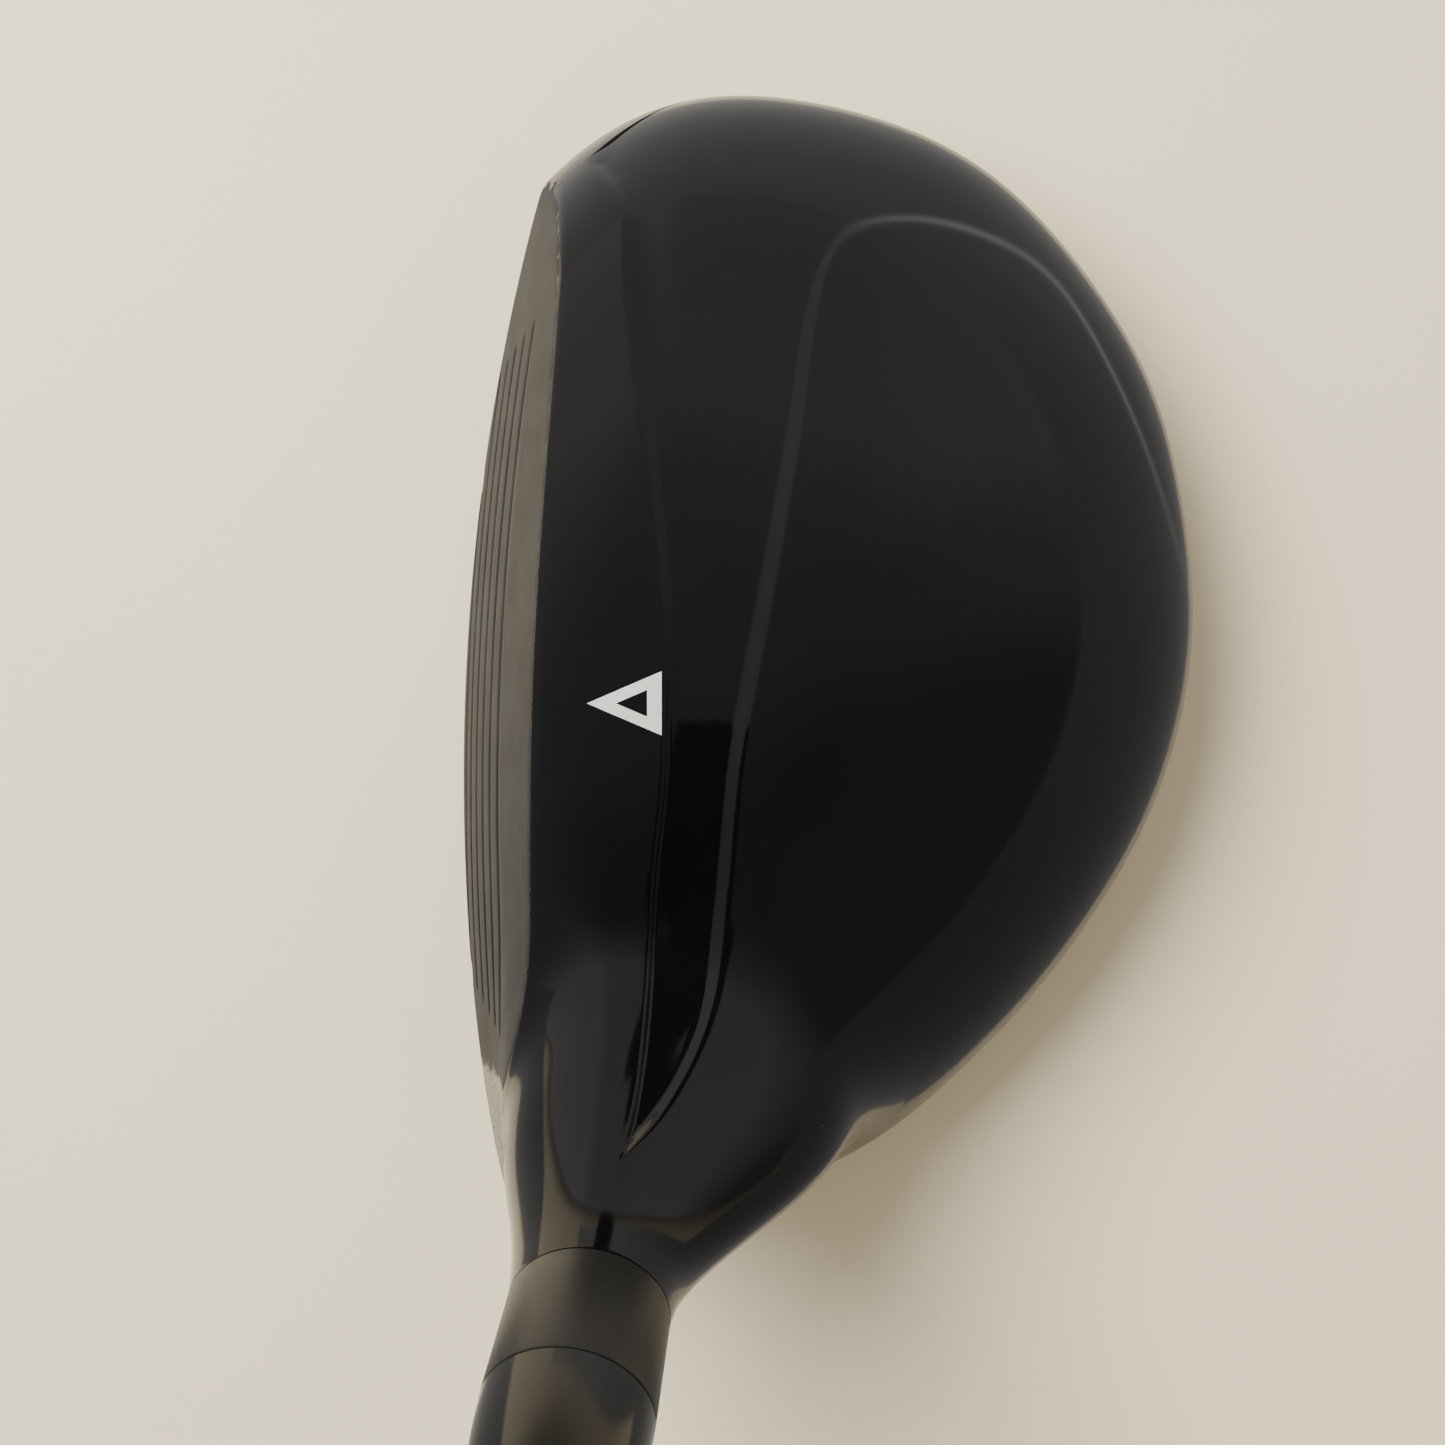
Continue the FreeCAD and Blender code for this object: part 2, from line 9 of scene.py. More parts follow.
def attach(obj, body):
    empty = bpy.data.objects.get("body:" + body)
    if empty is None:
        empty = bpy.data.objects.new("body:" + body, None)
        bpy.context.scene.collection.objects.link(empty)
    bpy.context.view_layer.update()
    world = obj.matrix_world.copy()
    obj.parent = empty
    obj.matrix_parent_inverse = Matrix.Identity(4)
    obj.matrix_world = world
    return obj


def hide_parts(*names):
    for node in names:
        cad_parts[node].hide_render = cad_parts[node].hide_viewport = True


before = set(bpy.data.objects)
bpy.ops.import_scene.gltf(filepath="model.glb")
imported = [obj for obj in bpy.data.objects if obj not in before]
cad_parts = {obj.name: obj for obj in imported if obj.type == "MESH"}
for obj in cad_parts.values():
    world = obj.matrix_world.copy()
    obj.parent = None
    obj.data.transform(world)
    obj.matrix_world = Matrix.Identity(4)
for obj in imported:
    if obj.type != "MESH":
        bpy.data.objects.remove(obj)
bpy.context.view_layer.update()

# The object is a golf hybrid whose sole rests on the floor. Lengths in this script are in
# millimetres, in the frame of the CAD model, and become metres when a mesh is made.
MM = 0.001

# ---------------------------------------------------------------- the head's form

# Waist outline from the toe round the back, the heel and a front that the face cuts off.
WAIST = [
    (-3, 58.7), (12, 55.6), (24.3, 47.6), (33.8, 34.7), (38.6, 18), (38.5, 4), (34.3, -9), (26.5, -21.3),
    (17.2, -31.3), (8.5, -37.6), (-2, -41), (-12, -42.4), (-30, -40), (-40, -25), (-43, 0), (-38.5, 22),
    (-27.5, 42), (-16.5, 53.5),
]
MIDDLE = np.array([0.0, 8.0])
CROWN_HEIGHT, WAIST_HEIGHT = 37.0, 16.0
CROWN_POWER, CROWN_POWER_SWING, CROWN_ROUNDING = 3.35, 1.15, 0.72
SOLE_POWER, SOLE_ROUNDING = 4.5, 0.7
SOLE_FRONT, SOLE_BACK, SOLE_SIDE = 400.0, 220.0, 340.0
SOLE_LIFT = 0.02
HARMONICS = 12

LOFT = math.radians(21.5)
FACE_CENTRE = np.array([-24.1, -5.5, 21.0])
FACE_RADIUS = 290.0
FACE_AHEAD = np.array([-math.cos(LOFT), 0.0, math.sin(LOFT)])
FACE_MIDDLE = FACE_CENTRE - FACE_AHEAD * FACE_RADIUS
FACE_BLEND, NECK_BLEND, NECK_BLEND_BACK = 0.8, 7.0, 11.0

# The shaft's axis: a seat for the adapter on the neck, the way down, and the crown side.
SEAM = np.array([-10.0, -46.0, 50.0])
DOWN = np.array([0.0, 0.5, -math.sqrt(3) / 2])
CROWN_SIDE = np.array([0.0, math.sqrt(3) / 2, 0.5])
# Neck sections: distance below the seam, then reach to the front, back, crown and heel.
NECK = [
    (0, 6.6, 6.6, 6.6, 6.6), (4, 7.0, 7.2, 7.0, 6.8), (9, 7.9, 9.8, 8.2, 7.0),
    (15, 9.4, 14.3, 10.5, 7.3), (22, 10.5, 17.5, 14, 7.5), (32, 10.5, 15, 18, 7.5),
]
NECK_END = 40.0


def closed_spline(points, count):
    """Points along the smooth closed curve through the given ones."""
    points = np.array(points, float)
    ring = np.vstack([points, points[:1]])
    spans = np.linalg.norm(np.diff(ring, axis=0), axis=1)
    many = len(points)
    system, target = np.zeros((many, many)), np.zeros((many, 2))
    for i in range(many):
        before, after = spans[i - 1], spans[i]
        system[i, i - 1] += before
        system[i, i] += 2 * (before + after)
        system[i, (i + 1) % many] += after
        target[i] = 6 * ((ring[i + 1] - ring[i]) / after - (ring[i] - ring[i - 1]) / before)
    bend = np.linalg.solve(system, target)
    bend = np.vstack([bend, bend[:1]])
    knots = np.concatenate([[0], np.cumsum(spans)])
    along = np.linspace(0, knots[-1], count, endpoint=False)
    k = np.clip(np.searchsorted(knots, along, side="right") - 1, 0, many - 1)
    a, b, h = (knots[k + 1] - along)[:, None], (along - knots[k])[:, None], spans[k][:, None]
    return (bend[k] * a**3 + bend[k + 1] * b**3) / (6 * h) + (
        (ring[k] / h - bend[k] * h / 6) * a + (ring[k + 1] / h - bend[k + 1] * h / 6) * b)


def open_spline(xs, ys):
    """The natural cubic through the given points, held level past its ends."""
    xs, ys = np.array(xs, float), np.array(ys, float)
    spans = np.diff(xs)
    many = len(xs)
    system, target = np.eye(many), np.zeros(many)
    for i in range(1, many - 1):
        system[i, i - 1:i + 2] = spans[i - 1], 2 * (spans[i - 1] + spans[i]), spans[i]
        target[i] = 6 * ((ys[i + 1] - ys[i]) / spans[i] - (ys[i] - ys[i - 1]) / spans[i - 1])
    bend = np.linalg.solve(system, target)

    def value(x):
        x = np.clip(np.asarray(x, float), xs[0], xs[-1])
        k = np.clip(np.searchsorted(xs, x, side="right") - 1, 0, many - 2)
        a, b, h = xs[k + 1] - x, x - xs[k], spans[k]
        return (bend[k] * a**3 + bend[k + 1] * b**3) / (6 * h) + (
            (ys[k] / h - bend[k] * h / 6) * a + (ys[k + 1] / h - bend[k + 1] * h / 6) * b)
    return value


def waist_radii(coarse=1024, fine=8192):
    """The waist's reach from the middle at even angles, smoothed to its low harmonics."""
    spots = closed_spline(WAIST, 2048) - MIDDLE
    angles, reach = np.arctan2(spots[:, 1], spots[:, 0]), np.hypot(spots[:, 0], spots[:, 1])
    order = np.argsort(angles)
    grid = np.linspace(-math.pi, math.pi, coarse, endpoint=False)
    waves = np.fft.rfft(np.interp(grid, angles[order], reach[order], period=2 * math.pi))
    waves[HARMONICS + 1:] = 0
    padded = np.zeros(fine // 2 + 1, complex)
    padded[:HARMONICS + 1] = waves[:HARMONICS + 1]
    angles = np.linspace(-math.pi, math.pi, fine, endpoint=False)
    return angles, np.fft.irfft(padded, fine) * fine / coarse


WAIST_ANGLES, WAIST_RADII = waist_radii()
NECK_DEPTHS = np.linspace(0, NECK[-1][0], 641)
NECK_KNOTS = [ring[0] for ring in NECK]
NECK_REACH = [open_spline(NECK_KNOTS, [ring[side] for ring in NECK])(NECK_DEPTHS) for side in range(1, 5)]


def share_of_waist(x, y):
    """0 at the middle and 1 at the waist outline."""
    across, along = x - MIDDLE[0], y - MIDDLE[1]
    reach = np.interp(np.arctan2(along, across), WAIST_ANGLES, WAIST_RADII, period=2 * math.pi)
    return np.hypot(across, along) / reach


def blank_level(x, y, z):
    """Below 0 inside the head's blank, before the face cuts it."""
    share = share_of_waist(x, y)
    power = CROWN_POWER - CROWN_POWER_SWING * (x - MIDDLE[0]) / np.maximum(
        np.hypot(x - MIDDLE[0], y - MIDDLE[1]), 0.5)
    sole = x * x / np.where(x < 0, SOLE_FRONT, SOLE_BACK) + y * y / SOLE_SIDE + SOLE_LIFT
    up = np.maximum((z - WAIST_HEIGHT) / (CROWN_HEIGHT - WAIST_HEIGHT), 0)
    down = np.maximum((WAIST_HEIGHT - z) / (WAIST_HEIGHT - sole), 0)
    crown = (share**power + up**(1 / CROWN_ROUNDING))**(1 / power)
    base = (share**SOLE_POWER + down**(1 / SOLE_ROUNDING))**(1 / SOLE_POWER)
    return np.where(z >= WAIST_HEIGHT, crown, base) - 1


def blank_distance(x, y, z, step=0.05):
    slope = [
        blank_level(x + step, y, z) - blank_level(x - step, y, z),
        blank_level(x, y + step, z) - blank_level(x, y - step, z),
        blank_level(x, y, z + step) - blank_level(x, y, z - step),
    ]
    steep = np.sqrt(sum(s * s for s in slope)) / (2 * step)
    return blank_level(x, y, z) / np.maximum(steep, 0.005)


def face_distance(x, y, z):
    return np.sqrt((x - FACE_MIDDLE[0])**2 + (y - FACE_MIDDLE[1])**2 + (z - FACE_MIDDLE[2])**2) - FACE_RADIUS


def face_cut(points):
    """Above 0 where the face cuts the blank, below 0 where it stays clear of it."""
    x, y, z = points[..., 0], points[..., 1], points[..., 2]
    return face_distance(x, y, z) - blank_distance(x, y, z)


def neck_distance(x, y, z):
    across = x - SEAM[0]
    depth = (y - SEAM[1]) * DOWN[1] + (z - SEAM[2]) * DOWN[2]
    rise = (y - SEAM[1]) * CROWN_SIDE[1] + (z - SEAM[2]) * CROWN_SIDE[2]
    reach = [np.interp(depth, NECK_DEPTHS, table) for table in NECK_REACH]
    wide, high = np.where(across < 0, reach[0], reach[1]), np.where(rise > 0, reach[2], reach[3])
    radius = np.hypot(across, rise) + 1e-9
    side = radius - radius / (np.hypot(across / wide, rise / high) + 1e-9)
    return np.maximum(side, depth - NECK_END)


def smooth_min(a, b, size):
    near = np.maximum(size - np.abs(a - b), 0) / size
    return np.minimum(a, b) - near**3 * size / 6


def head_distance(points):
    """Below 0 inside the head."""
    x, y, z = points[..., 0], points[..., 1], points[..., 2]
    body = -smooth_min(-blank_distance(x, y, z), -face_distance(x, y, z), FACE_BLEND)
    blend = NECK_BLEND + NECK_BLEND_BACK * ramp(-9, 5, x)
    return smooth_min(body, neck_distance(x, y, z), blend)


def ramp(low, high, x):
    """0 below low, 1 above high, smooth between."""
    t = np.clip((x - low) / (high - low), 0, 1)
    return t * t * (3 - 2 * t)


# ---------------------------------------------------------------- sections of the head

# The head is cut into sections by planes that contain the X direction. From the neck's seam they
# swing round the heel to upright, over the middle, and then run upright out to the toe. Each
# knot gives (y, z) where such a plane meets the crown's side and the heel's side.
SWING = [
    (0, (-40.3, 53.3), (-51.7, 46.7)), (0.3, (-30, 42.2), (-44, 31)), (0.45, (-22, 38.8), (-42.2, 22)),
    (0.6, (-15, 37.3), (-42.3, 12)), (0.75, (-9, 37), (-37, 3)), (1, (0, 37), (0, 0)),
]
SWING_SECTIONS, TOE_SECTIONS = 150, 180
MARCH = 2.5


def spine():
    """For each section its place, from -1 at the seam through 0 to 1 at the toe, a point inside
    the head, and the way up."""
    swinging = np.linspace(-1, 0, SWING_SECTIONS, endpoint=False)
    place = np.concatenate([swinging, np.linspace(0, 1, TOE_SECTIONS)])
    swing, flat = 1 + place[place < 0], place[place >= 0]
    knots = [knot[0] for knot in SWING]
    crown, heel = (
        np.stack([open_spline(knots, [knot[side][axis] for knot in SWING])(swing) for axis in (0, 1)], 1)
        for side in (1, 2))
    share = np.interp(swing, [0, 1], [0.5, WAIST_HEIGHT / CROWN_HEIGHT])[:, None]
    middle = heel + (crown - heel) * share
    up = (crown - heel) / np.linalg.norm(crown - heel, axis=1, keepdims=True)
    across = np.interp(swing, [0, 0.3, 0.6, 1], [SEAM[0], SEAM[0], -6, 3])
    tip = np.argmax(WAIST_RADII * np.sin(WAIST_ANGLES))
    tip_across = WAIST_RADII[tip] * math.cos(WAIST_ANGLES[tip])
    tip_along = MIDDLE[1] + WAIST_RADII[tip] * math.sin(WAIST_ANGLES[tip])
    along = tip_along * np.sin(flat * math.pi / 2 * 0.998)
    toe_across = np.interp(along, [0, tip_along], [3, tip_across])
    spots = np.vstack([np.column_stack([across, middle]),
                       np.column_stack([toe_across, along, np.full(len(flat), WAIST_HEIGHT)])])
    ups = np.vstack([np.column_stack([0 * across, up]), np.tile([0.0, 0.0, 1.0], (len(flat), 1))])
    return place, spots, ups


def station(y, z):
    """y over the head, running on round the neck towards the seam."""
    return np.where(y > TURN[0], y, TURN[0] - TURN_REACH * np.arctan2(TURN[0] - y, TURN[1] - z))


def contours(spots, ups, angles, start=None):
    """How far rays at the given angles run before they leave the head, and where; the angles are
    (sections, rays), and start is a first guess of the distance."""
    ways = np.cos(angles)[..., None] * np.array([1.0, 0, 0]) + np.sin(angles)[..., None] * ups[:, None, :]
    if start is None:
        outside = np.full(angles.shape, 80.0)
        for reach in np.arange(76, 0.9, -MARCH):
            clear = head_distance(spots[:, None, :] + ways * reach) > 0
            outside = np.where(clear, reach, outside)
        inside = np.maximum(outside - MARCH, 0)
    else:
        outside, inside = start + 1.5, np.maximum(start - 1.5, 0)
    for _ in range(15):
        middle = (inside + outside) / 2
        clear = head_distance(spots[:, None, :] + ways * middle[..., None]) > 0
        outside, inside = np.where(clear, middle, outside), np.where(clear, inside, middle)
    return middle, spots[:, None, :] + ways * middle[..., None]


# Lines that the rows of the skin follow, as (station, x).
TURN, TURN_REACH = (-24.35, 62.5), 25.0
LEDGE_EDGE = open_spline(
    [-46, -40, -34.5, -26, -18, -9.7, -5.5, 1.3, 10.6, 15.6, 24.2, 33, 39.4, 47.2, 51],
    [-11, -8.6, -7.6, -7.1, -7.0, -6.4, -5.9, -5.6, -5.5, -5.9, -6.8, -8, -9, -10.8, -13.8])
DOME_EDGE = open_spline(
    [-46, -38, -34.5, -28.6, -23.9, -16.6, -9.7, -2.1, 3, 9.7, 19.8, 28.4, 36.4, 43],
    [-12, -8.6, -6.6, -3.9, -2.3, -1.3, -0.6, 0.2, 1.1, 2.4, 4.2, 5.5, 6.5, 8])
DOME_TOP = open_spline([6, 10.9, 16, 22, 27.3, 31.6, 36, 40], [42.5, 44.4, 44.9, 43.4, 39.6, 32.6, 22, 8])
CHANNEL_DEPTH = 0.5

GROOVES, GROOVE_TOP, GROOVE_PITCH = 7, 24.8, 3.55
GROOVE_WIDTH, GROOVE_DEPTH = 0.85, 0.4
GROOVE_MIDDLE, GROOVE_LENGTH, GROOVE_SHORTER = 5.0, 64.0, 1.4
FACE_FROM = -0.7


def held(place, fractions, low, high):
    """A row's fractions, level past the places where its line is real."""
    good = (place >= low) & (place <= high) & np.isfinite(fractions)
    return np.interp(place, place[good], fractions[good])


def crossing(along, values, low, high):
    """The length along each contour where values go from below to above 0 between two rays."""
    found = np.full(len(values), np.nan)
    for i, line in enumerate(values):
        hits = np.nonzero((line[low:high - 1] < 0) & (line[low + 1:high] >= 0))[0]
        if len(hits):
            k = hits[0] + low
            t = line[k] / (line[k] - line[k + 1])
            found[i] = along[i, k] + t * (along[i, k + 1] - along[i, k])
    return found


def skin_grid(rays=720):
    """The sections' places, the head's outer surface as a grid of (section, row) points, and the
    rows where the face ends on top and where the waist runs behind."""
    place, spots, ups = spine()
    # rays start straight down and run by the face, the crown and the back to the sole again
    angles = np.tile(-math.pi / 2 - np.linspace(0, 2 * math.pi, rays + 1), (len(spots), 1))
    reach, ring = contours(spots, ups, angles)
    steps = np.linalg.norm(np.diff(ring, axis=1), axis=2)
    along = np.concatenate([np.zeros((len(spots), 1)), np.cumsum(steps, axis=1)], 1)
    length = along[:, -1:]
    x, y, z = ring[..., 0], ring[..., 1], ring[..., 2]
    cut = face_cut(ring)
    quarter = rays // 4
    foot = crossing(along, cut, 2, quarter + quarter // 2)
    top = crossing(along, -cut, quarter // 2, 2 * quarter + quarter // 2)
    where = station(y, z)
    ledge = crossing(along, x - LEDGE_EDGE(where), quarter + quarter // 3, 3 * quarter)
    dome = crossing(along, x - DOME_EDGE(where), quarter + quarter // 3, 3 * quarter)
    back = crossing(along, WAIST_HEIGHT - z, 2 * quarter, 4 * quarter)
    size = length[:, 0]
    foot = held(place, foot / size, -0.66, 0.66)
    top = held(place, top / size, -0.85, 0.66)
    ledge = held(place, ledge / size, -1, 0.64)
    dome = held(place, dome / size, -1, 0.5)
    back = held(place, back / size, -0.36, 1)
    knots, counts = [foot, foot + 1 / size], [5]
    for groove in reversed(range(GROOVES)):
        for side in (-1, 0, 1):
            level = GROOVE_TOP - groove * GROOVE_PITCH + side * GROOVE_WIDTH * 0.55
            knots.append(held(place, crossing(along, z - level, 2, 2 * quarter) / size, -0.6, 0.5))
        counts += [5, 3, 3]
    knots += [top - 1.1 / size, top, top + 1.1 / size, ledge - 0.5 / size, ledge, ledge + 0.5 / size,
              dome - 1.6 / size, dome + 1.6 / size, back - 1.5 / size, back, back + 1.5 / size,
              1 + foot - 1 / size, 1 + foot]
    counts += [12, 6, 6, 20, 4, 4, 14, 12, 84, 5, 5, 90, 5]
    knots = np.array(knots)
    steps = np.arange(len(knots))[:, None] * 1e-4
    knots = np.maximum.accumulate(knots - steps, axis=0) + steps
    rows = [knots[:1]]
    for low, high, count in zip(knots[:-1], knots[1:], counts):
        share = np.linspace(0, 1, count + 1)[1:, None]
        rows.append(low + (high - low) * share)
    rows = np.concatenate(rows)[:-1].T
    marks = np.cumsum([0] + counts)
    spread, guess = np.empty(rows.shape), np.empty(rows.shape)
    for i in range(len(spots)):
        where = (rows[i] % 1) * length[i, 0]
        spread[i] = np.interp(where, along[i], angles[i])
        guess[i] = np.interp(where, along[i], reach[i])
    _, grid = contours(spots, ups, spread, guess)
    top_mark, back_mark = marks[3 * GROOVES + 3], marks[3 * GROOVES + 11]
    return place, grid, top_mark, back_mark


def skin_normals(points, step=0.03):
    """Outward normals of the smooth form, from how its distance grows."""
    slope = np.empty(points.shape)
    for axis in range(3):
        shift = np.zeros(3)
        shift[axis] = step
        slope[..., axis] = head_distance(points + shift) - head_distance(points - shift)
    return slope / np.maximum(np.linalg.norm(slope, axis=-1, keepdims=True), 1e-12)


def grid_slopes(grid):
    """Unit normals of the closed rows of sections, and 0 where the grid is pinched."""
    round_step = np.roll(grid, -1, axis=1) - np.roll(grid, 1, axis=1)
    out_step = np.gradient(grid, axis=0)
    normals = np.cross(round_step, out_step)
    size = np.linalg.norm(normals, axis=2, keepdims=True)
    return np.where(size > 2e-3, normals / np.maximum(size, 1e-12), 0)


def carved_normals(normals, smooth_grid, carved_grid):
    """The smooth form's normals, turned by as much as the relief turns the grid."""
    before, after = grid_slopes(smooth_grid), grid_slopes(carved_grid)
    sound = (np.abs(before).sum(axis=2) > 0) & (np.abs(after).sum(axis=2) > 0)
    turned = normals + np.where(sound[..., None], after - before, 0)
    return turned / np.linalg.norm(turned, axis=2, keepdims=True)


# ---------------------------------------------------------------- making meshes

WEIGHT_FACE, WEIGHT_TILT, WEIGHT_RECESS = (23, 4, 1.6), 16, 7.15
PORT_RADIUS, BORE_RADIUS = 4.3, 5.6
TURNED_SHARP = 28


def new_object(name, points, faces):
    """A mesh object from points in millimetres."""
    mesh = bpy.data.meshes.new(name)
    mesh.from_pydata((np.asarray(points) * MM).tolist(), [], faces)
    mesh.update()
    piece = bpy.data.objects.new(name, mesh)
    bpy.context.scene.collection.objects.link(piece)
    return piece


def smooth(piece, sharp_over=None):
    """Smooth shading, with edges over an angle in degrees kept sharp."""
    for polygon in piece.data.polygons:
        polygon.use_smooth = True
    if sharp_over is not None:
        piece.data.set_sharp_from_angle(angle=math.radians(sharp_over))


def shell(name, points, normals, quads, thickness, inward):
    """A patch of the skin with a real wall: outside, inside and a rim along its borders."""
    used, compact = np.unique(quads, return_inverse=True)
    quads = compact.reshape(-1, 4)
    outer, facing = points[used], normals[used]
    wall = thickness[used][:, None]
    inner = outer + inward[used] * wall
    many = len(outer)
    edges = np.concatenate([quads[:, [i, (i + 1) % 4]] for i in range(4)])
    keys = edges[:, 0].astype(np.int64) * many + edges[:, 1]
    twins = edges[:, 1].astype(np.int64) * many + edges[:, 0]
    border = edges[~np.isin(keys, twins)]
    rims = np.stack([border[:, 1], border[:, 0], border[:, 0] + many, border[:, 1] + many], 1)
    faces = np.concatenate([quads, quads[:, ::-1] + many, rims])
    piece = new_object(name, np.vstack([outer, inner]), faces.tolist())
    smooth(piece)
    corner_normals = np.empty((len(faces) * 4, 3))
    flat = faces.reshape(-1)
    outside = len(quads) * 4
    corner_normals[:outside] = facing[flat[:outside]]
    corner_normals[outside:2 * outside] = -facing[flat[outside:2 * outside] - many]
    ends = np.vstack([outer, inner])[rims]
    rim_normals = np.cross(ends[:, 1] - ends[:, 0], ends[:, 2] - ends[:, 0])
    rim_normals /= np.maximum(np.linalg.norm(rim_normals, axis=1, keepdims=True), 1e-12)
    corner_normals[2 * outside:] = np.repeat(rim_normals, 4, axis=0)
    piece.data.normals_split_custom_set(corner_normals.tolist())
    return piece


def shaft_matrix():
    """From a frame whose Z runs up the shaft from the seam to the object's frame."""
    return Matrix((
        (1, 0, 0, SEAM[0]), (0, CROWN_SIDE[1], -DOWN[1], SEAM[1]), (0, CROWN_SIDE[2], -DOWN[2], SEAM[2]),
        (0, 0, 0, 1)))


def weight_matrix():
    """From a frame whose Z runs into the head from the rear weight's face to the object's frame."""
    tilt = math.radians(-WEIGHT_TILT)
    return Matrix.Translation(Vector(WEIGHT_FACE)) @ Matrix.Rotation(tilt, 4, "Y")


def lathe(name, outline, matrix, segments, end_heights=None):
    """Turns a closed outline of (radius, height) corners round Z. A corner in end_heights has its
    own height at each segment."""
    many = len(outline)
    points, faces = [], []
    for k in range(segments):
        turn = 2 * math.pi * k / segments
        for corner, (radius, height) in enumerate(outline):
            if end_heights is not None and corner in end_heights:
                height = end_heights[corner][k]
            points.append(matrix @ Vector((radius * math.cos(turn), radius * math.sin(turn), height)))
    for k in range(segments):
        after = (k + 1) % segments
        for corner in range(many):
            ahead = (corner + 1) % many
            faces.append([k * many + corner, after * many + corner, after * many + ahead, k * many + ahead])
    piece = new_object(name, np.array([tuple(p) for p in points]), faces)
    smooth(piece, TURNED_SHARP)
    return piece


def rounded(outline, radius, steps):
    """A closed outline with each corner turned into a small arc."""
    result = []
    many = len(outline)
    for i in range(many):
        before, here, after = (Vector(outline[(i + k) % many]) for k in (-1, 0, 1))
        into, out = before - here, after - here
        trim = min(radius, into.length * 0.4, out.length * 0.4)
        if trim < 0.02:
            result.append(tuple(here))
            continue
        start, end = here + into.normalized() * trim, here + out.normalized() * trim
        for k in range(steps + 1):
            t = k / steps
            result.append(tuple(start * (1 - t)**2 + here * 2 * t * (1 - t) + end * t**2))
    return result


def finished(piece, finish, body, replaced=None):
    """Gives a piece its material and its body, and hides the CAD node that it stands for."""
    piece.data.materials.append(materials[finish])
    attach(piece, body)
    if replaced is not None:
        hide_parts(replaced)


# ---------------------------------------------------------------- materials

def new_material(name):
    """A material with its shader node, ready for links."""
    made = bpy.data.materials.new(name)
    made.use_nodes = True
    return made, made.node_tree, made.node_tree.nodes["Principled BSDF"]


def node(tree, kind, inputs=None, **settings):
    """A node with its settings and its input values or links."""
    made = tree.nodes.new(kind)
    for key, setting in settings.items():
        setattr(made, key, setting)
    for key, given in (inputs or {}).items():
        socket = made.inputs[key]
        if isinstance(given, bpy.types.NodeSocket):
            tree.links.new(given, socket)
        else:
            socket.default_value = given
    return made


def place(tree, stretch=(1, 1, 1), turn=(0, 0, 0)):
    """Coordinates in millimetres in the object's frame."""
    where = node(tree, "ShaderNodeTexCoord").outputs["Object"]
    scale = tuple(1000 * s for s in stretch)
    mapped = node(tree, "ShaderNodeMapping", {"Vector": where, "Scale": scale, "Rotation": turn})
    return mapped.outputs["Vector"]


def noise(tree, vector, scale, detail=3.0, roughness=0.55):
    return node(tree, "ShaderNodeTexNoise", {
        "Vector": vector, "Scale": scale, "Detail": detail, "Roughness": roughness}).outputs["Fac"]


def remap(tree, value, low, high, to_low, to_high):
    return node(tree, "ShaderNodeMapRange", {
        "Value": value, "From Min": low, "From Max": high, "To Min": to_low, "To Max": to_high,
    }).outputs["Result"]


def maths(tree, operation, first, second):
    return node(tree, "ShaderNodeMath", {0: first, 1: second}, operation=operation).outputs[0]


def mix_colour(tree, share, first, second):
    made = node(tree, "ShaderNodeMix", data_type="RGBA")
    for index, given in ((0, share), (6, first), (7, second)):
        if isinstance(given, bpy.types.NodeSocket):
            tree.links.new(given, made.inputs[index])
        else:
            made.inputs[index].default_value = given if index == 0 else (*given, 1)
    return made.outputs[2]


def bump(tree, height, strength, distance):
    """distance is in millimetres."""
    return node(tree, "ShaderNodeBump", {
        "Height": height, "Strength": strength, "Distance": distance * MM}).outputs["Normal"]


def wire(tree, shader, colour, roughness, normal):
    """Links a surface's colour, roughness and bump to its shader."""
    for socket, source in (("Base Color", colour), ("Roughness", roughness), ("Normal", normal)):
        tree.links.new(source, shader.inputs[socket])


def specks(tree, vector, scale, size):
    """1 at a few small irregular spots, 0 elsewhere."""
    spots = node(tree, "ShaderNodeTexVoronoi", {"Vector": vector, "Scale": scale, "Randomness": 1.0})
    wobble = noise(tree, vector, 3.0)
    reach = remap(tree, wobble, 0.3, 0.7, 0.0, size * 2)
    away = maths(tree, "LESS_THAN", spots.outputs["Distance"], reach)
    colour = node(tree, "ShaderNodeSeparateColor", {"Color": spots.outputs["Color"]}).outputs["Red"]
    few = maths(tree, "GREATER_THAN", colour, 0.7)
    return maths(tree, "MULTIPLY", away, few)


SPECK_SHARE = 0.35


def paint(name, dark, light, rough, peel):
    """Sprayed paint with a faint orange peel, soft cloudiness and a few worn specks."""
    made, tree, shader = new_material(name)
    where = place(tree)
    cloud = noise(tree, where, 0.09, 4)
    base = mix_colour(tree, cloud, dark, light)
    spots = specks(tree, where, 0.11, 0.022)
    share = maths(tree, "MULTIPLY", spots, SPECK_SHARE)
    base = mix_colour(tree, share, base, (0.09, 0.075, 0.07))
    fine = noise(tree, where, 2.2, 3)
    wire(tree, shader, base, remap(tree, fine, 0.3, 0.7, *rough),
         bump(tree, noise(tree, where, 0.9, 2), peel, 0.012))
    shader.inputs["Specular IOR Level"].default_value = 0.3
    return made


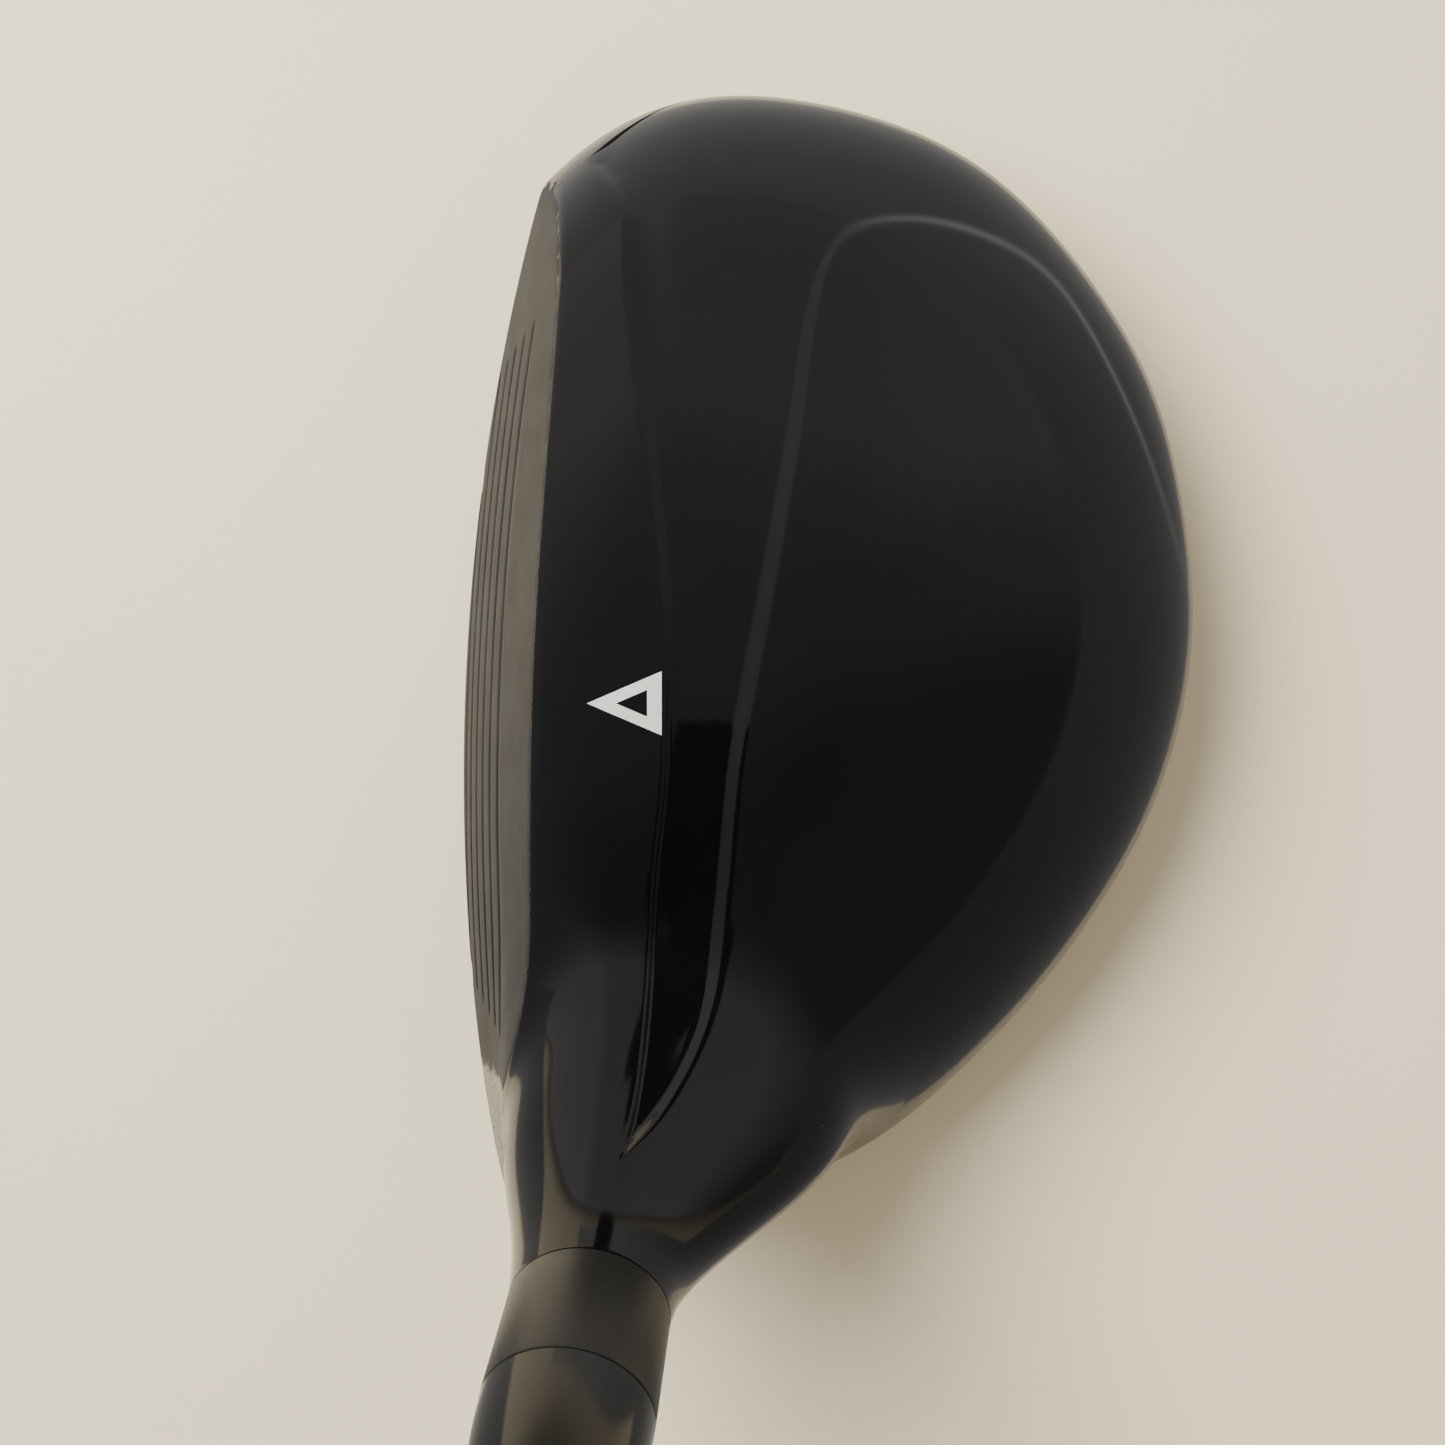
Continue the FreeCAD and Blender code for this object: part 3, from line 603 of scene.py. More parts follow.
def brushed(name, dark, light, rough, stretch, metallic=1.0, strength=0.25):
    """Metal with fine lines along one direction and a mottled tone."""
    made, tree, shader = new_material(name)
    lines = noise(tree, place(tree, stretch), 1.0, 5, 0.65)
    mottle = noise(tree, place(tree), 0.16, 5, 0.6)
    tone = maths(tree, "MULTIPLY", lines, mottle)
    base = mix_colour(tree, remap(tree, tone, 0.12, 0.4, 0, 1), dark, light)
    wire(tree, shader, base, remap(tree, lines, 0.25, 0.75, *rough), bump(tree, lines, strength, 0.02))
    shader.inputs["Metallic"].default_value = metallic
    shader.inputs["Specular IOR Level"].default_value = 0.35
    return made


def moulded(name, dark, light, rough, grain, strength):
    """Rubber, plastic or foam with a moulded grain."""
    made, tree, shader = new_material(name)
    where = place(tree)
    cloud = noise(tree, where, 0.12, 4)
    base = mix_colour(tree, cloud, dark, light)
    fine = noise(tree, where, grain, 3)
    wire(tree, shader, base, remap(tree, fine, 0.3, 0.7, *rough), bump(tree, fine, strength, 0.03))
    shader.inputs["Specular IOR Level"].default_value = 0.35
    return made


def woven(name, dark, light, pitch, rough):
    """Fibre laid in two directions under lacquer."""
    made, tree, shader = new_material(name)
    waves = []
    for turn in (0.78, -0.78):
        where = place(tree, (1, 1, 1), (0, turn, turn))
        waves.append(node(tree, "ShaderNodeTexWave", {
            "Vector": where, "Scale": 1 / pitch, "Distortion": 0.6, "Detail": 2.0}).outputs["Fac"])
    both = maths(tree, "MULTIPLY", waves[0], waves[1])
    base = mix_colour(tree, both, dark, light)
    wire(tree, shader, base, remap(tree, both, 0, 1, *rough), bump(tree, both, 0.15, 0.02))
    return made


def bead_blasted(name, dark, light):
    """Bead-blasted steel with milled lines, painted shade darkening the grooves, worn scratches near the heel,
    paint past its ends.
    """
    made, tree, shader = new_material(name)
    where = place(tree)
    mill = noise(tree, place(tree, (0.5, 0.06, 2.6)), 1.0, 4, 0.6)
    mottle = noise(tree, where, 0.22, 5, 0.62)
    tone = mix_colour(tree, remap(tree, mottle, 0.3, 0.7, 0, 1), dark, light)
    tone = mix_colour(tree, remap(tree, mill, 0.35, 0.65, 0, 0.35), tone, (0.14, 0.138, 0.136))
    # painted shade: the grooves' colour is darkened, patchily by noise, where shade falls in them
    groove = node(tree, "ShaderNodeAttribute", attribute_name="groove").outputs["Fac"]
    shade_patchiness = remap(tree, noise(tree, where, 1.4, 4), 0.35, 0.6, 0.35, 1.0)
    groove_shade = maths(tree, "MULTIPLY", groove, shade_patchiness)
    tone = mix_colour(tree, groove_shade, tone, (0.055, 0.05, 0.05))
    scratch = noise(tree, place(tree, (0.15, 2.4, 0.9), (0.5, 0.0, 0.3)), 1.0, 5, 0.7)
    heel = node(tree, "ShaderNodeSeparateXYZ", {"Vector": where}).outputs["Y"]
    worn = maths(tree, "MULTIPLY", remap(tree, scratch, 0.56, 0.66, 0, 1), remap(tree, heel, -24, -31, 0, 0.8))
    edge = node(tree, "ShaderNodeAttribute", attribute_name="steel").outputs["Fac"]
    ragged = remap(tree, noise(tree, where, 0.8, 5, 0.7), 0.3, 0.7, -0.35, 0.35)
    steel = remap(tree, maths(tree, "ADD", edge, ragged), 0.42, 0.58, 0, 1)
    bare = maths(tree, "MAXIMUM", steel, worn)
    base = mix_colour(tree, bare, (0.004, 0.004, 0.0045), tone)
    tree.links.new(bare, shader.inputs["Metallic"])
    shader.inputs["Specular Tint"].default_value = (0.54, 0.56, 0.6, 1)
    grain = maths(tree, "ADD", mill, scratch)
    wire(tree, shader, base, remap(tree, bare, 0, 1, 0.25, 0.5), bump(tree, grain, 0.25, 0.02))
    return made


# Each finish: how it is made, its dark and light tones, its roughness, and its grain.
FINISHES = {
    "crown_paint": (paint, (0.0012, 0.0012, 0.0014), (0.0026, 0.0026, 0.003), (0.07, 0.13), 0.05),
    "head_paint": (paint, (0.0014, 0.0014, 0.0016), (0.003, 0.003, 0.0034), (0.1, 0.17), 0.08),
    "face_steel": (bead_blasted, (0.058, 0.059, 0.061), (0.098, 0.099, 0.102)),
    "anodised_aluminium": (
        brushed, (0.005, 0.0047, 0.0044), (0.012, 0.0112, 0.0105), (0.34, 0.44), (6, 6, 0.5), 0.05, 0.12),
    "ferrule_plastic": (moulded, (0.002, 0.002, 0.002), (0.004, 0.004, 0.004), (0.1, 0.16), 1.5, 0.03),
    "graphite": (woven, (0.006, 0.006, 0.007), (0.014, 0.014, 0.016), 1.4, (0.14, 0.24)),
    "fastener_steel": (brushed, (0.2, 0.2, 0.2), (0.42, 0.41, 0.4), (0.25, 0.4), (3, 3, 3)),
    "weight_metal": (brushed, (0.25, 0.25, 0.26), (0.5, 0.5, 0.5), (0.22, 0.36), (5, 0.6, 5)),
    "badge_metal": (brushed, (0.16, 0.16, 0.17), (0.34, 0.34, 0.35), (0.28, 0.4), (5, 0.25, 5)),
    "brass": (brushed, (0.42, 0.28, 0.1), (0.7, 0.5, 0.2), (0.3, 0.4), (3, 3, 3)),
    "ballast": (brushed, (0.12, 0.12, 0.12), (0.24, 0.23, 0.22), (0.5, 0.65), (1.5, 1.5, 1.5)),
    "foam": (moulded, (0.05, 0.05, 0.05), (0.09, 0.09, 0.09), (0.8, 0.95), 2.5, 0.5),
    "tape": (moulded, (0.5, 0.48, 0.42), (0.62, 0.6, 0.54), (0.6, 0.75), 1.2, 0.3),
    "hot_melt": (moulded, (0.35, 0.27, 0.12), (0.5, 0.4, 0.2), (0.3, 0.45), 0.5, 0.2),
    "retainer_plastic": (moulded, (0.02, 0.02, 0.02), (0.035, 0.035, 0.035), (0.35, 0.5), 1.5, 0.1),
    "grip_rubber": (moulded, (0.012, 0.012, 0.012), (0.022, 0.022, 0.021), (0.6, 0.78), 3.5, 0.3),
    "cap_rubber": (moulded, (0.014, 0.014, 0.014), (0.026, 0.026, 0.025), (0.55, 0.7), 3.0, 0.2),
    "mark": (brushed, (0.42, 0.42, 0.4), (0.62, 0.62, 0.6), (0.45, 0.6), (2, 2, 2), 0.1, 0.05),
}


# ---------------------------------------------------------------- the head

def add_value(piece, name, values):
    """A number for every vertex, which a material reads."""
    spots = piece.data.attributes.new(name, "FLOAT", "POINT")
    spots.data.foreach_set("value", np.asarray(values, np.float32))


def onto_skin(points, way, reach=4.0):
    """The given points moved along a way that leads into the head, onto its surface."""
    low, high = np.full(len(points), -reach), np.full(len(points), reach)
    for _ in range(24):
        middle = (low + high) / 2
        outside = head_distance(points + way * middle[:, None]) > 0
        low, high = np.where(outside, middle, low), np.where(outside, high, middle)
    return points + way * middle[:, None]


def cut_hole(points, quads, inward, origin, way, radius):
    """Takes a round hole out of the sole and brings its edge onto the circle."""
    offset = points - origin
    aside = offset - np.outer(offset @ way, way)
    away = np.linalg.norm(aside, axis=1)
    inside = (away < radius - 0.2) & (points[:, 2] < 14)
    lost = inside[quads].any(axis=1)
    edge = np.intersect1d(quads[lost], quads[~lost])
    moved = points[edge] + aside[edge] * (radius / away[edge] - 1)[:, None]
    points[edge] = onto_skin(moved, way)
    inward[edge] = way
    return quads[~lost]


def relief(grid, top, back):
    """How far the finished surface stands off the smooth one, and how deep each groove is."""
    x, y, z = grid[..., 0], grid[..., 1], grid[..., 2]
    wide = station(y, z)
    rows = np.arange(grid.shape[1])[None, :]
    soft = np.interp(wide, [4, 38], [0.6, 2.4])
    front = 1 - ramp(-0.5, 0.5, (x - LEDGE_EDGE(wide)) / soft)
    inner = smooth_min(x - DOME_EDGE(wide), DOME_TOP(x) - y, 5)
    dome = ramp(-0.8, 0.8, inner)
    low = CHANNEL_DEPTH * (1 - front) * (1 - dome) * ramp(16.5, 28, z) * ((rows >= top) & (rows <= back))
    groove = np.zeros(x.shape)
    for k in range(GROOVES):
        across = np.abs(z - (GROOVE_TOP - k * GROOVE_PITCH)) / (GROOVE_WIDTH / 2)
        half = (GROOVE_LENGTH - k * GROOVE_SHORTER) / 2
        ends = 1 - ramp(half - 0.8, half, np.abs(y - GROOVE_MIDDLE))
        groove = np.maximum(groove, (1 - ramp(0.35, 1.0, across)) * ends)
    groove = groove * (rows < top)
    return -low - GROOVE_DEPTH * groove, groove


def make_head():
    place, grid, top, back = skin_grid()
    normals = skin_normals(grid)
    offset, groove = relief(grid, top, back)
    steel = np.clip(0.5 + face_cut(grid) / 1.6, 0, 1) * ramp(-33, -29, grid[..., 1])
    carved = grid + normals * offset[..., None]
    way = -normals.reshape(-1, 3)
    normals = carved_normals(normals, grid, carved)
    grid = carved
    sections, rows = grid.shape[:2]
    points, facing = grid.reshape(-1, 3).copy(), normals.reshape(-1, 3)

    def patch(first, last, low, high):
        """Quads of rows first to last over sections low to high."""
        row = np.arange(first, last)
        section = np.arange(low, high)[:, None] * rows
        here, after = section + row % rows, section + (row + 1) % rows
        quads = np.stack([here, after, after + rows, here + rows], -1)
        return quads.reshape(-1, 4)

    heel = int(np.searchsorted(place, FACE_FROM))
    last = sections - 1

    def wall(size):
        """A wall's thickness, thinned where the head itself is too thin for it."""
        thick = np.full(len(points), size)
        for _ in range(8):
            poking = head_distance(points + way * thick[:, None]) > -0.55 * thick
            thick = np.where(poking, thick * 0.6, thick)
        return thick

    face_quads = patch(0, top, heel, last)
    face = shell("face_skin", points, facing, face_quads, wall(2.2), way)
    used = np.unique(face_quads)
    for name, values in (("groove", groove), ("steel", steel)):
        chosen = values.reshape(-1)[used]
        add_value(face, name, np.concatenate([chosen, chosen]))
    crown = shell("crown_skin", points, facing, patch(top, back, 0, last), wall(0.8), way)
    body_quads = np.concatenate([patch(back, rows, 0, last), patch(0, top, 0, heel)])
    port_way = -DOWN
    frame_axis = weight_matrix().to_3x3() @ Vector((0, 0, 1))
    body_quads = cut_hole(points, body_quads, way, SEAM, port_way, PORT_RADIUS)
    body_quads = cut_hole(points, body_quads, way, np.array(WEIGHT_FACE, float), np.array(frame_axis),
                          WEIGHT_RECESS)
    body = shell("body_skin", points, facing, body_quads, wall(0.8), way)
    finished(face, "face_steel", "head", "face_insert")
    finished(crown, "crown_paint", "head", "crown_shell")
    finished(body, "head_paint", "head", "head_body")
    return crown


def heights_at(matrix, radius, segments, low, high):
    """Where the wall of a round hole meets the head's surface, in the hole's own frame."""
    place_of = np.array(matrix)
    turn = 2 * math.pi * np.arange(segments) / segments
    flat = np.stack([radius * np.cos(turn), radius * np.sin(turn), 0 * turn], 1)
    base = flat @ place_of[:3, :3].T + place_of[:3, 3]
    way = place_of[:3, 2]
    middle = (low + high) / 2
    found = onto_skin(base + way * middle, way, (high - low) / 2)
    return (found - base) @ way


def make_hosel():
    """The bore that takes the adapter, its shelf, and the bolt's port down to the sole."""
    segments = 96
    matrix = shaft_matrix()
    inner = heights_at(matrix, PORT_RADIUS, segments, -72, -44) + 0.02
    outer = heights_at(matrix, PORT_RADIUS + 0.9, segments, -76, -40) + 0.5
    outline = [
        (BORE_RADIUS, -0.1), (BORE_RADIUS, -30), (4.65, -30.6), (4.65, -35.5), (2.8, -35.5), (2.8, -38.5),
        (PORT_RADIUS, -38.5), (PORT_RADIUS, -60), (PORT_RADIUS + 0.9, -60), (PORT_RADIUS + 0.9, -37),
        (6.2, -31), (6.2, -0.1),
    ]
    tube = lathe("hosel_tube", outline, matrix, segments, end_heights={7: inner, 8: outer})
    finished(tube, "fastener_steel", "head")


def make_weight_seat():
    """The recess in the sole that takes the rear weight."""
    segments = 120
    matrix = weight_matrix()
    inner = heights_at(matrix, WEIGHT_RECESS, segments, -4, 4) + 0.02
    outer = heights_at(matrix, WEIGHT_RECESS + 1, segments, -4, 4) + 0.5
    outline = [
        (WEIGHT_RECESS, 0), (WEIGHT_RECESS, 3.08), (5.05, 3.08), (5.05, 9.7), (6.2, 9.7), (6.2, 4.4),
        (WEIGHT_RECESS + 1, 4.2), (WEIGHT_RECESS + 1, 1),
    ]
    seat = lathe("weight_seat", outline, matrix, segments, end_heights={0: inner, 7: outer})
    finished(seat, "head_paint", "head")


def ring_faces(rings, many):
    """Quads between closed rings of many points each."""
    return [[r * many + k, r * many + (k + 1) % many, (r + 1) * many + (k + 1) % many, (r + 1) * many + k]
            for r in range(rings - 1) for k in range(many)]


def filled_rings(outline, rings):
    """Points of a closed outline shrunk step by step to its middle, and the quads between."""
    outline = np.array(outline, float)
    middle = outline.mean(0)
    shares = np.linspace(1, 0, rings, endpoint=False)
    points = np.concatenate([middle + (outline - middle) * share for share in shares] + [middle[None, :]])
    many = len(outline)
    faces = ring_faces(rings, many)
    last = (rings - 1) * many
    faces += [[last + k, last + (k + 1) % many, rings * many] for k in range(many)]
    return points, faces


BADGE = [(6, 22), (11, 25), (13.5, 18), (13.5, -9), (10, -18), (6, -15), (7.5, 2)]
BADGE_SIDES, BADGE_RINGS, BADGE_PROUD, BADGE_SUNK = 160, 14, 0.12, 0.6


def make_badge():
    """The sole's metal badge, just proud of the sole and left plain."""
    flat, faces = filled_rings(closed_spline(BADGE, BADGE_SIDES), BADGE_RINGS)
    spots = np.column_stack([flat, np.full(len(flat), 1.0)])
    skin = onto_skin(spots, np.array([0.0, 0, 1]), 5.0)
    share = np.concatenate([np.repeat(np.linspace(1, 0, BADGE_RINGS, endpoint=False), BADGE_SIDES), [0]])
    proud = BADGE_PROUD * (1 - share**12) + 0.02
    upper = skin - np.column_stack([0 * proud, 0 * proud, proud])
    lower = skin + np.array([0, 0, BADGE_SUNK])
    faces = [list(reversed(face)) for face in faces]
    many = len(flat)
    rims = [[k, (k + 1) % BADGE_SIDES, (k + 1) % BADGE_SIDES + many, k + many] for k in range(BADGE_SIDES)]
    below = [[k + many for k in reversed(face)] for face in faces]
    badge = new_object("sole_badge_plate", np.vstack([upper, lower]), faces + below + rims)
    smooth(badge, 40)
    finished(badge, "badge_metal", "head", "sole_badge")


MARK = [(-12.4, 2.7), (-6.0, 5.4), (-6.0, 0.0)]
MARK_HOLE, MARK_SIDE_STEPS, MARK_RINGS, MARK_PROUD, MARK_THICKNESS = 0.42, 24, 8, 0.03, 0.06


def make_mark(crown):
    """A plain silver aiming triangle lying on the ledge."""
    points = [Vector(p) for p in MARK]
    outer, inner = [], []
    middle = sum(points, Vector((0, 0))) / 3
    for k in range(3):
        start, end = points[k], points[(k + 1) % 3]
        for step in range(MARK_SIDE_STEPS):
            spot = start.lerp(end, step / MARK_SIDE_STEPS)
            outer.append(spot)
            inner.append(middle + (spot - middle) * MARK_HOLE)
    many = len(outer)
    corners = [vertex.co / MM for vertex in crown.data.vertices]
    tree = BVHTree.FromPolygons(corners, [polygon.vertices for polygon in crown.data.polygons])
    spots = []
    for ring in range(MARK_RINGS):
        for first, last in zip(outer, inner):
            spot = first.lerp(last, ring / (MARK_RINGS - 1))
            hit = tree.ray_cast(Vector((spot.x, spot.y, 80)), Vector((0, 0, -1)))[0]
            spots.append((spot.x, spot.y, hit.z + MARK_PROUD))
    faces = ring_faces(MARK_RINGS, many)
    count = len(spots)
    under = [[count + corner for corner in reversed(face)] for face in faces]
    rims = [[k, k + count, (k + 1) % many + count, (k + 1) % many] for k in range(many)]
    base = (MARK_RINGS - 1) * many
    for k in range(many):
        here, after = base + k, base + (k + 1) % many
        rims.append([here, after, after + count, here + count])
    lower = [(x, y, z - MARK_THICKNESS) for x, y, z in spots]
    mark = new_object("aiming_mark", spots + lower, faces + under + rims)
    smooth(mark, 40)
    finished(mark, "mark", "head")


# ---------------------------------------------------------------- the shaft's side

COLLAR, COLLAR_TOP_RADIUS, HOSEL_RADIUS = 11.7, 6.9, 6.6
TIP_DEPTH, TIP_RADIUS, TIP_PARALLEL = 24.5, 4.7, 75
SHAFT_LENGTH, BUTT_RADIUS, SHAFT_WALL = 985, 7.6, 1.1
GRIP_LENGTH, GRIP_MOUTH, GRIP_BUTT, CAP_RADIUS, CAP_HEIGHT, VENT = 268, 9.3, 13.2, 13.9, 6, 1.5
TOP = SHAFT_LENGTH - TIP_DEPTH


def eased(corners, steps):
    """Points of an outline with even steps between its corners."""
    result = []
    for (r0, h0), (r1, h1) in zip(corners[:-1], corners[1:]):
        for k in range(steps):
            result.append((r0 + (r1 - r0) * k / steps, h0 + (h1 - h0) * k / steps))
    return result + [corners[-1]]


def curve_down(radius_at, low, high, steps):
    """Outline points of a round side whose radius is a function of height."""
    return [(float(radius_at(h)), float(h)) for h in np.linspace(low, high, steps + 1)]


def add_turned(name, outline, finish, replaced, segments=160):
    """A piece turned on the shaft's axis, which stands for a CAD node."""
    piece = lathe(name, outline, shaft_matrix(), segments)
    finished(piece, finish, "shaft_assembly", replaced)


def make_grip():
    """A tapered rubber grip whose surface is moulded with rows of small pads."""
    mouth = TOP - GRIP_LENGTH
    side = open_spline([mouth, mouth + 22, mouth + 120, TOP - 30, TOP],
                       [GRIP_MOUTH, GRIP_MOUTH + 1.0, 11.3, GRIP_BUTT, CAP_RADIUS - 0.3])
    inner = BUTT_RADIUS - (BUTT_RADIUS - TIP_RADIUS) * GRIP_LENGTH / (SHAFT_LENGTH - TIP_PARALLEL) + 0.05
    segments, steps = 144, 536
    heights = np.linspace(mouth, TOP, steps + 1)
    turn = 2 * math.pi * np.arange(segments) / segments
    across, up = np.meshgrid(turn, heights)
    slant = (np.sin(across * 18 + up * 0.9) * np.sin(across * 18 - up * 0.9))
    pads = ramp(0.05, 0.3, np.abs(slant))
    bands = ramp(14, 20, up - mouth) * ramp(10, 16, TOP - up)
    collar = sum(np.maximum(0, 1 - np.abs((up - mouth - ring) / 1.2)) for ring in (10, 5))
    radius = side(up) - 0.35 * (1 - pads) * bands - 0.25 * np.clip(collar, 0, 1)
    rows = [radius, np.full((1, segments), BUTT_RADIUS + 0.35), np.full((1, segments), inner)]
    levels = [up, np.full((1, segments), float(TOP)), np.full((1, segments), mouth)]
    radius, up = np.vstack(rows), np.vstack(levels)
    place_of = np.array(shaft_matrix())
    spin = np.broadcast_to(turn, radius.shape)
    local = np.stack([radius * np.cos(spin), radius * np.sin(spin), up], -1).reshape(-1, 3)
    points = local @ place_of[:3, :3].T + place_of[:3, 3]
    many = radius.shape[0]
    row = np.arange(many)[:, None]
    column = np.arange(segments)[None, :]
    after_row, after = (row + 1) % many, (column + 1) % segments
    quads = np.stack([row * segments + column, row * segments + after, after_row * segments + after,
                      after_row * segments + column], -1).reshape(-1, 4)
    grip = new_object("rubber_grip", points, quads.tolist())
    smooth(grip, 50)
    finished(grip, "grip_rubber", "shaft_assembly", "grip")


def make_shaft_pieces():
    """Adapter, ferrule, shaft, grip and cap, turned finely along the shaft's axis."""
    sleeve_bore = TIP_RADIUS + 0.02
    collar = rounded([
        (5.5, -29), (5.5, 0), (HOSEL_RADIUS, 0.03), (COLLAR_TOP_RADIUS, COLLAR - 0.02),
        (sleeve_bore, COLLAR - 0.02), (sleeve_bore, -TIP_DEPTH), (2.6, -TIP_DEPTH), (2.6, -26), (3.4, -26),
        (3.4, -34), (4.5, -34), (4.5, -29),
    ], 0.22, 3)
    add_turned("adapter_collar", collar, "anodised_aluminium", "adapter_sleeve")
    side = open_spline([COLLAR, COLLAR + 4, COLLAR + 14.7, COLLAR + 21],
                       [COLLAR_TOP_RADIUS, 6.8, 5.85, 4.95])
    ferrule = curve_down(side, COLLAR + 0.2, COLLAR + 20.8, 30)
    outline = ([(COLLAR_TOP_RADIUS - 0.22, COLLAR + 0.02)] + ferrule
               + [(sleeve_bore, COLLAR + 21), (sleeve_bore, COLLAR + 0.02)])
    add_turned("tapered_ferrule", outline, "ferrule_plastic", "ferrule")
    knee = TIP_PARALLEL - TIP_DEPTH
    inner = TIP_RADIUS - SHAFT_WALL * 1.6
    outline = eased([(inner, -TIP_DEPTH), (TIP_RADIUS, -TIP_DEPTH)], 1) + eased(
        [(TIP_RADIUS, knee), (BUTT_RADIUS, TOP)], 40) + [(BUTT_RADIUS - SHAFT_WALL, TOP), (inner, knee)]
    add_turned("graphite_shaft", outline, "graphite", "shaft", 128)
    make_grip()
    cap = rounded([
        (VENT, TOP + 0.02), (CAP_RADIUS - 0.3, TOP + 0.02), (CAP_RADIUS, TOP + 1.5),
        (CAP_RADIUS - 0.8, TOP + CAP_HEIGHT - 1.8), (CAP_RADIUS - 4, TOP + CAP_HEIGHT),
        (8.6, TOP + CAP_HEIGHT), (8.2, TOP + CAP_HEIGHT - 0.5), (6.4, TOP + CAP_HEIGHT - 0.5),
        (6.0, TOP + CAP_HEIGHT), (VENT, TOP + CAP_HEIGHT),
    ], 0.6, 4)
    add_turned("rubber_cap", cap, "cap_rubber", "grip_cap")


# ---------------------------------------------------------------- camera, light and floor

CAMERA_SPOT, CAMERA_TILT = (28.78, 1.08, 278.18), math.radians(7)


def make_camera():
    """Looks down at the head from where the sole is flat on the floor, a little from behind."""
    lens = bpy.data.cameras.new("camera")
    lens.lens, lens.sensor_width = 72, 36
    lens.clip_start = 0.01
    eye = bpy.data.objects.new("camera", lens)
    x, y, z = (length * MM for length in CAMERA_SPOT)
    across, down = math.cos(CAMERA_TILT), math.sin(CAMERA_TILT)
    eye.matrix_world = Matrix(((across, 0, down, x), (0, 1, 0, y), (-down, 0, across, z), (0, 0, 0, 1)))
    bpy.context.scene.collection.objects.link(eye)
    bpy.context.scene.camera = eye


def make_light(name, place_at, aim, size, power, colour):
    """A round soft lamp that isn't mirrored in gloss."""
    lamp = bpy.data.lights.new(name, "AREA")
    lamp.shape = "DISK"
    lamp.size, lamp.energy, lamp.color = size, power, colour
    light = bpy.data.objects.new(name, lamp)
    light.location = place_at
    light.rotation_euler = (Vector(aim) - Vector(place_at)).to_track_quat("-Z", "Y").to_euler()
    light.visible_glossy = False
    bpy.context.scene.collection.objects.link(light)


def make_world():
    """A dim room, brighter low towards the toe and behind the face."""
    world = bpy.data.worlds.new("room")
    bpy.context.scene.world = world
    world.use_nodes = True
    tree = world.node_tree
    back = tree.nodes["Background"]
    way = node(tree, "ShaderNodeTexCoord").outputs["Generated"]
    axis = node(tree, "ShaderNodeSeparateXYZ", {"Vector": way}).outputs
    toe = remap(tree, axis["Y"], -0.12, 0.35, 0.2, 0.9)
    front = remap(tree, axis["X"], -0.2, -0.34, 0.0, 0.3)
    behind = remap(tree, axis["X"], 0.2, 0.6, 0.0, 0.1)
    level = maths(tree, "ADD", toe, front)
    level = maths(tree, "ADD", level, behind)
    tree.links.new(level, back.inputs["Strength"])
    back.inputs["Color"].default_value = (1.0, 0.97, 0.92, 1)


# The dark card hides its own stretch of the channel's gloss: x of its sides at a few y.
CARD_LEFT = open_spline([-32, -23, -9.4, 0, 1.2], [-8.2, -7.5, -6.7, -5.0, -4.7])
CARD_RIGHT = open_spline([-32, -27, -23, -9.4, 0, 1.2], [-6.3, -3.6, -2.0, -0.3, 0.1, 0.1])
CARD_AWAY, CARD_ROWS, CARD_COLUMNS = 12.0, 40, 9


def seen_in_gloss_only(piece):
    for seen_by in ("camera", "diffuse", "shadow", "transmission"):
        setattr(piece, "visible_" + seen_by, False)


def strip_faces(rows, columns):
    """Quads of a grid of rows by columns points."""
    return [[j * columns + i, j * columns + i + 1, (j + 1) * columns + i + 1, (j + 1) * columns + i]
            for j in range(rows - 1) for i in range(columns - 1)]


def make_card():
    """A dark card close above the head, where the channel mirrors it to the camera."""
    along = np.linspace(1.2, -32, CARD_ROWS)
    share = np.linspace(0, 1, CARD_COLUMNS)
    across = CARD_LEFT(along)[:, None] * (1 - share) + CARD_RIGHT(along)[:, None] * share
    start = np.stack([across, np.repeat(along[:, None], CARD_COLUMNS, 1), np.full(across.shape, 40.0)], -1)
    spots = onto_skin(start.reshape(-1, 3), np.array([0.0, 0, -1]), 8.0)
    normals = skin_normals(spots)
    sight = spots - np.array(bpy.context.scene.camera.matrix_world.translation / MM)
    sight /= np.linalg.norm(sight, axis=1, keepdims=True)
    mirrored = sight - 2 * (sight * normals).sum(axis=1, keepdims=True) * normals
    card = new_object("dark_card", spots + mirrored * CARD_AWAY, strip_faces(CARD_ROWS, CARD_COLUMNS))
    made, tree, shader = new_material("dark_card")
    shader.inputs["Base Color"].default_value = (0.002, 0.002, 0.002, 1)
    shader.inputs["Roughness"].default_value = 1.0
    card.data.materials.append(made)
    seen_in_gloss_only(card)


# The dim screen stands this far off the waist outline, and further off and higher by the shaft.
SCREEN_AWAY, SCREEN_TOP, SCREEN_BOTTOM = 15.0, 36.0, 1.0
SCREEN_SHAFT_AWAY, SCREEN_SHAFT_TOP = 26.0, 74.0


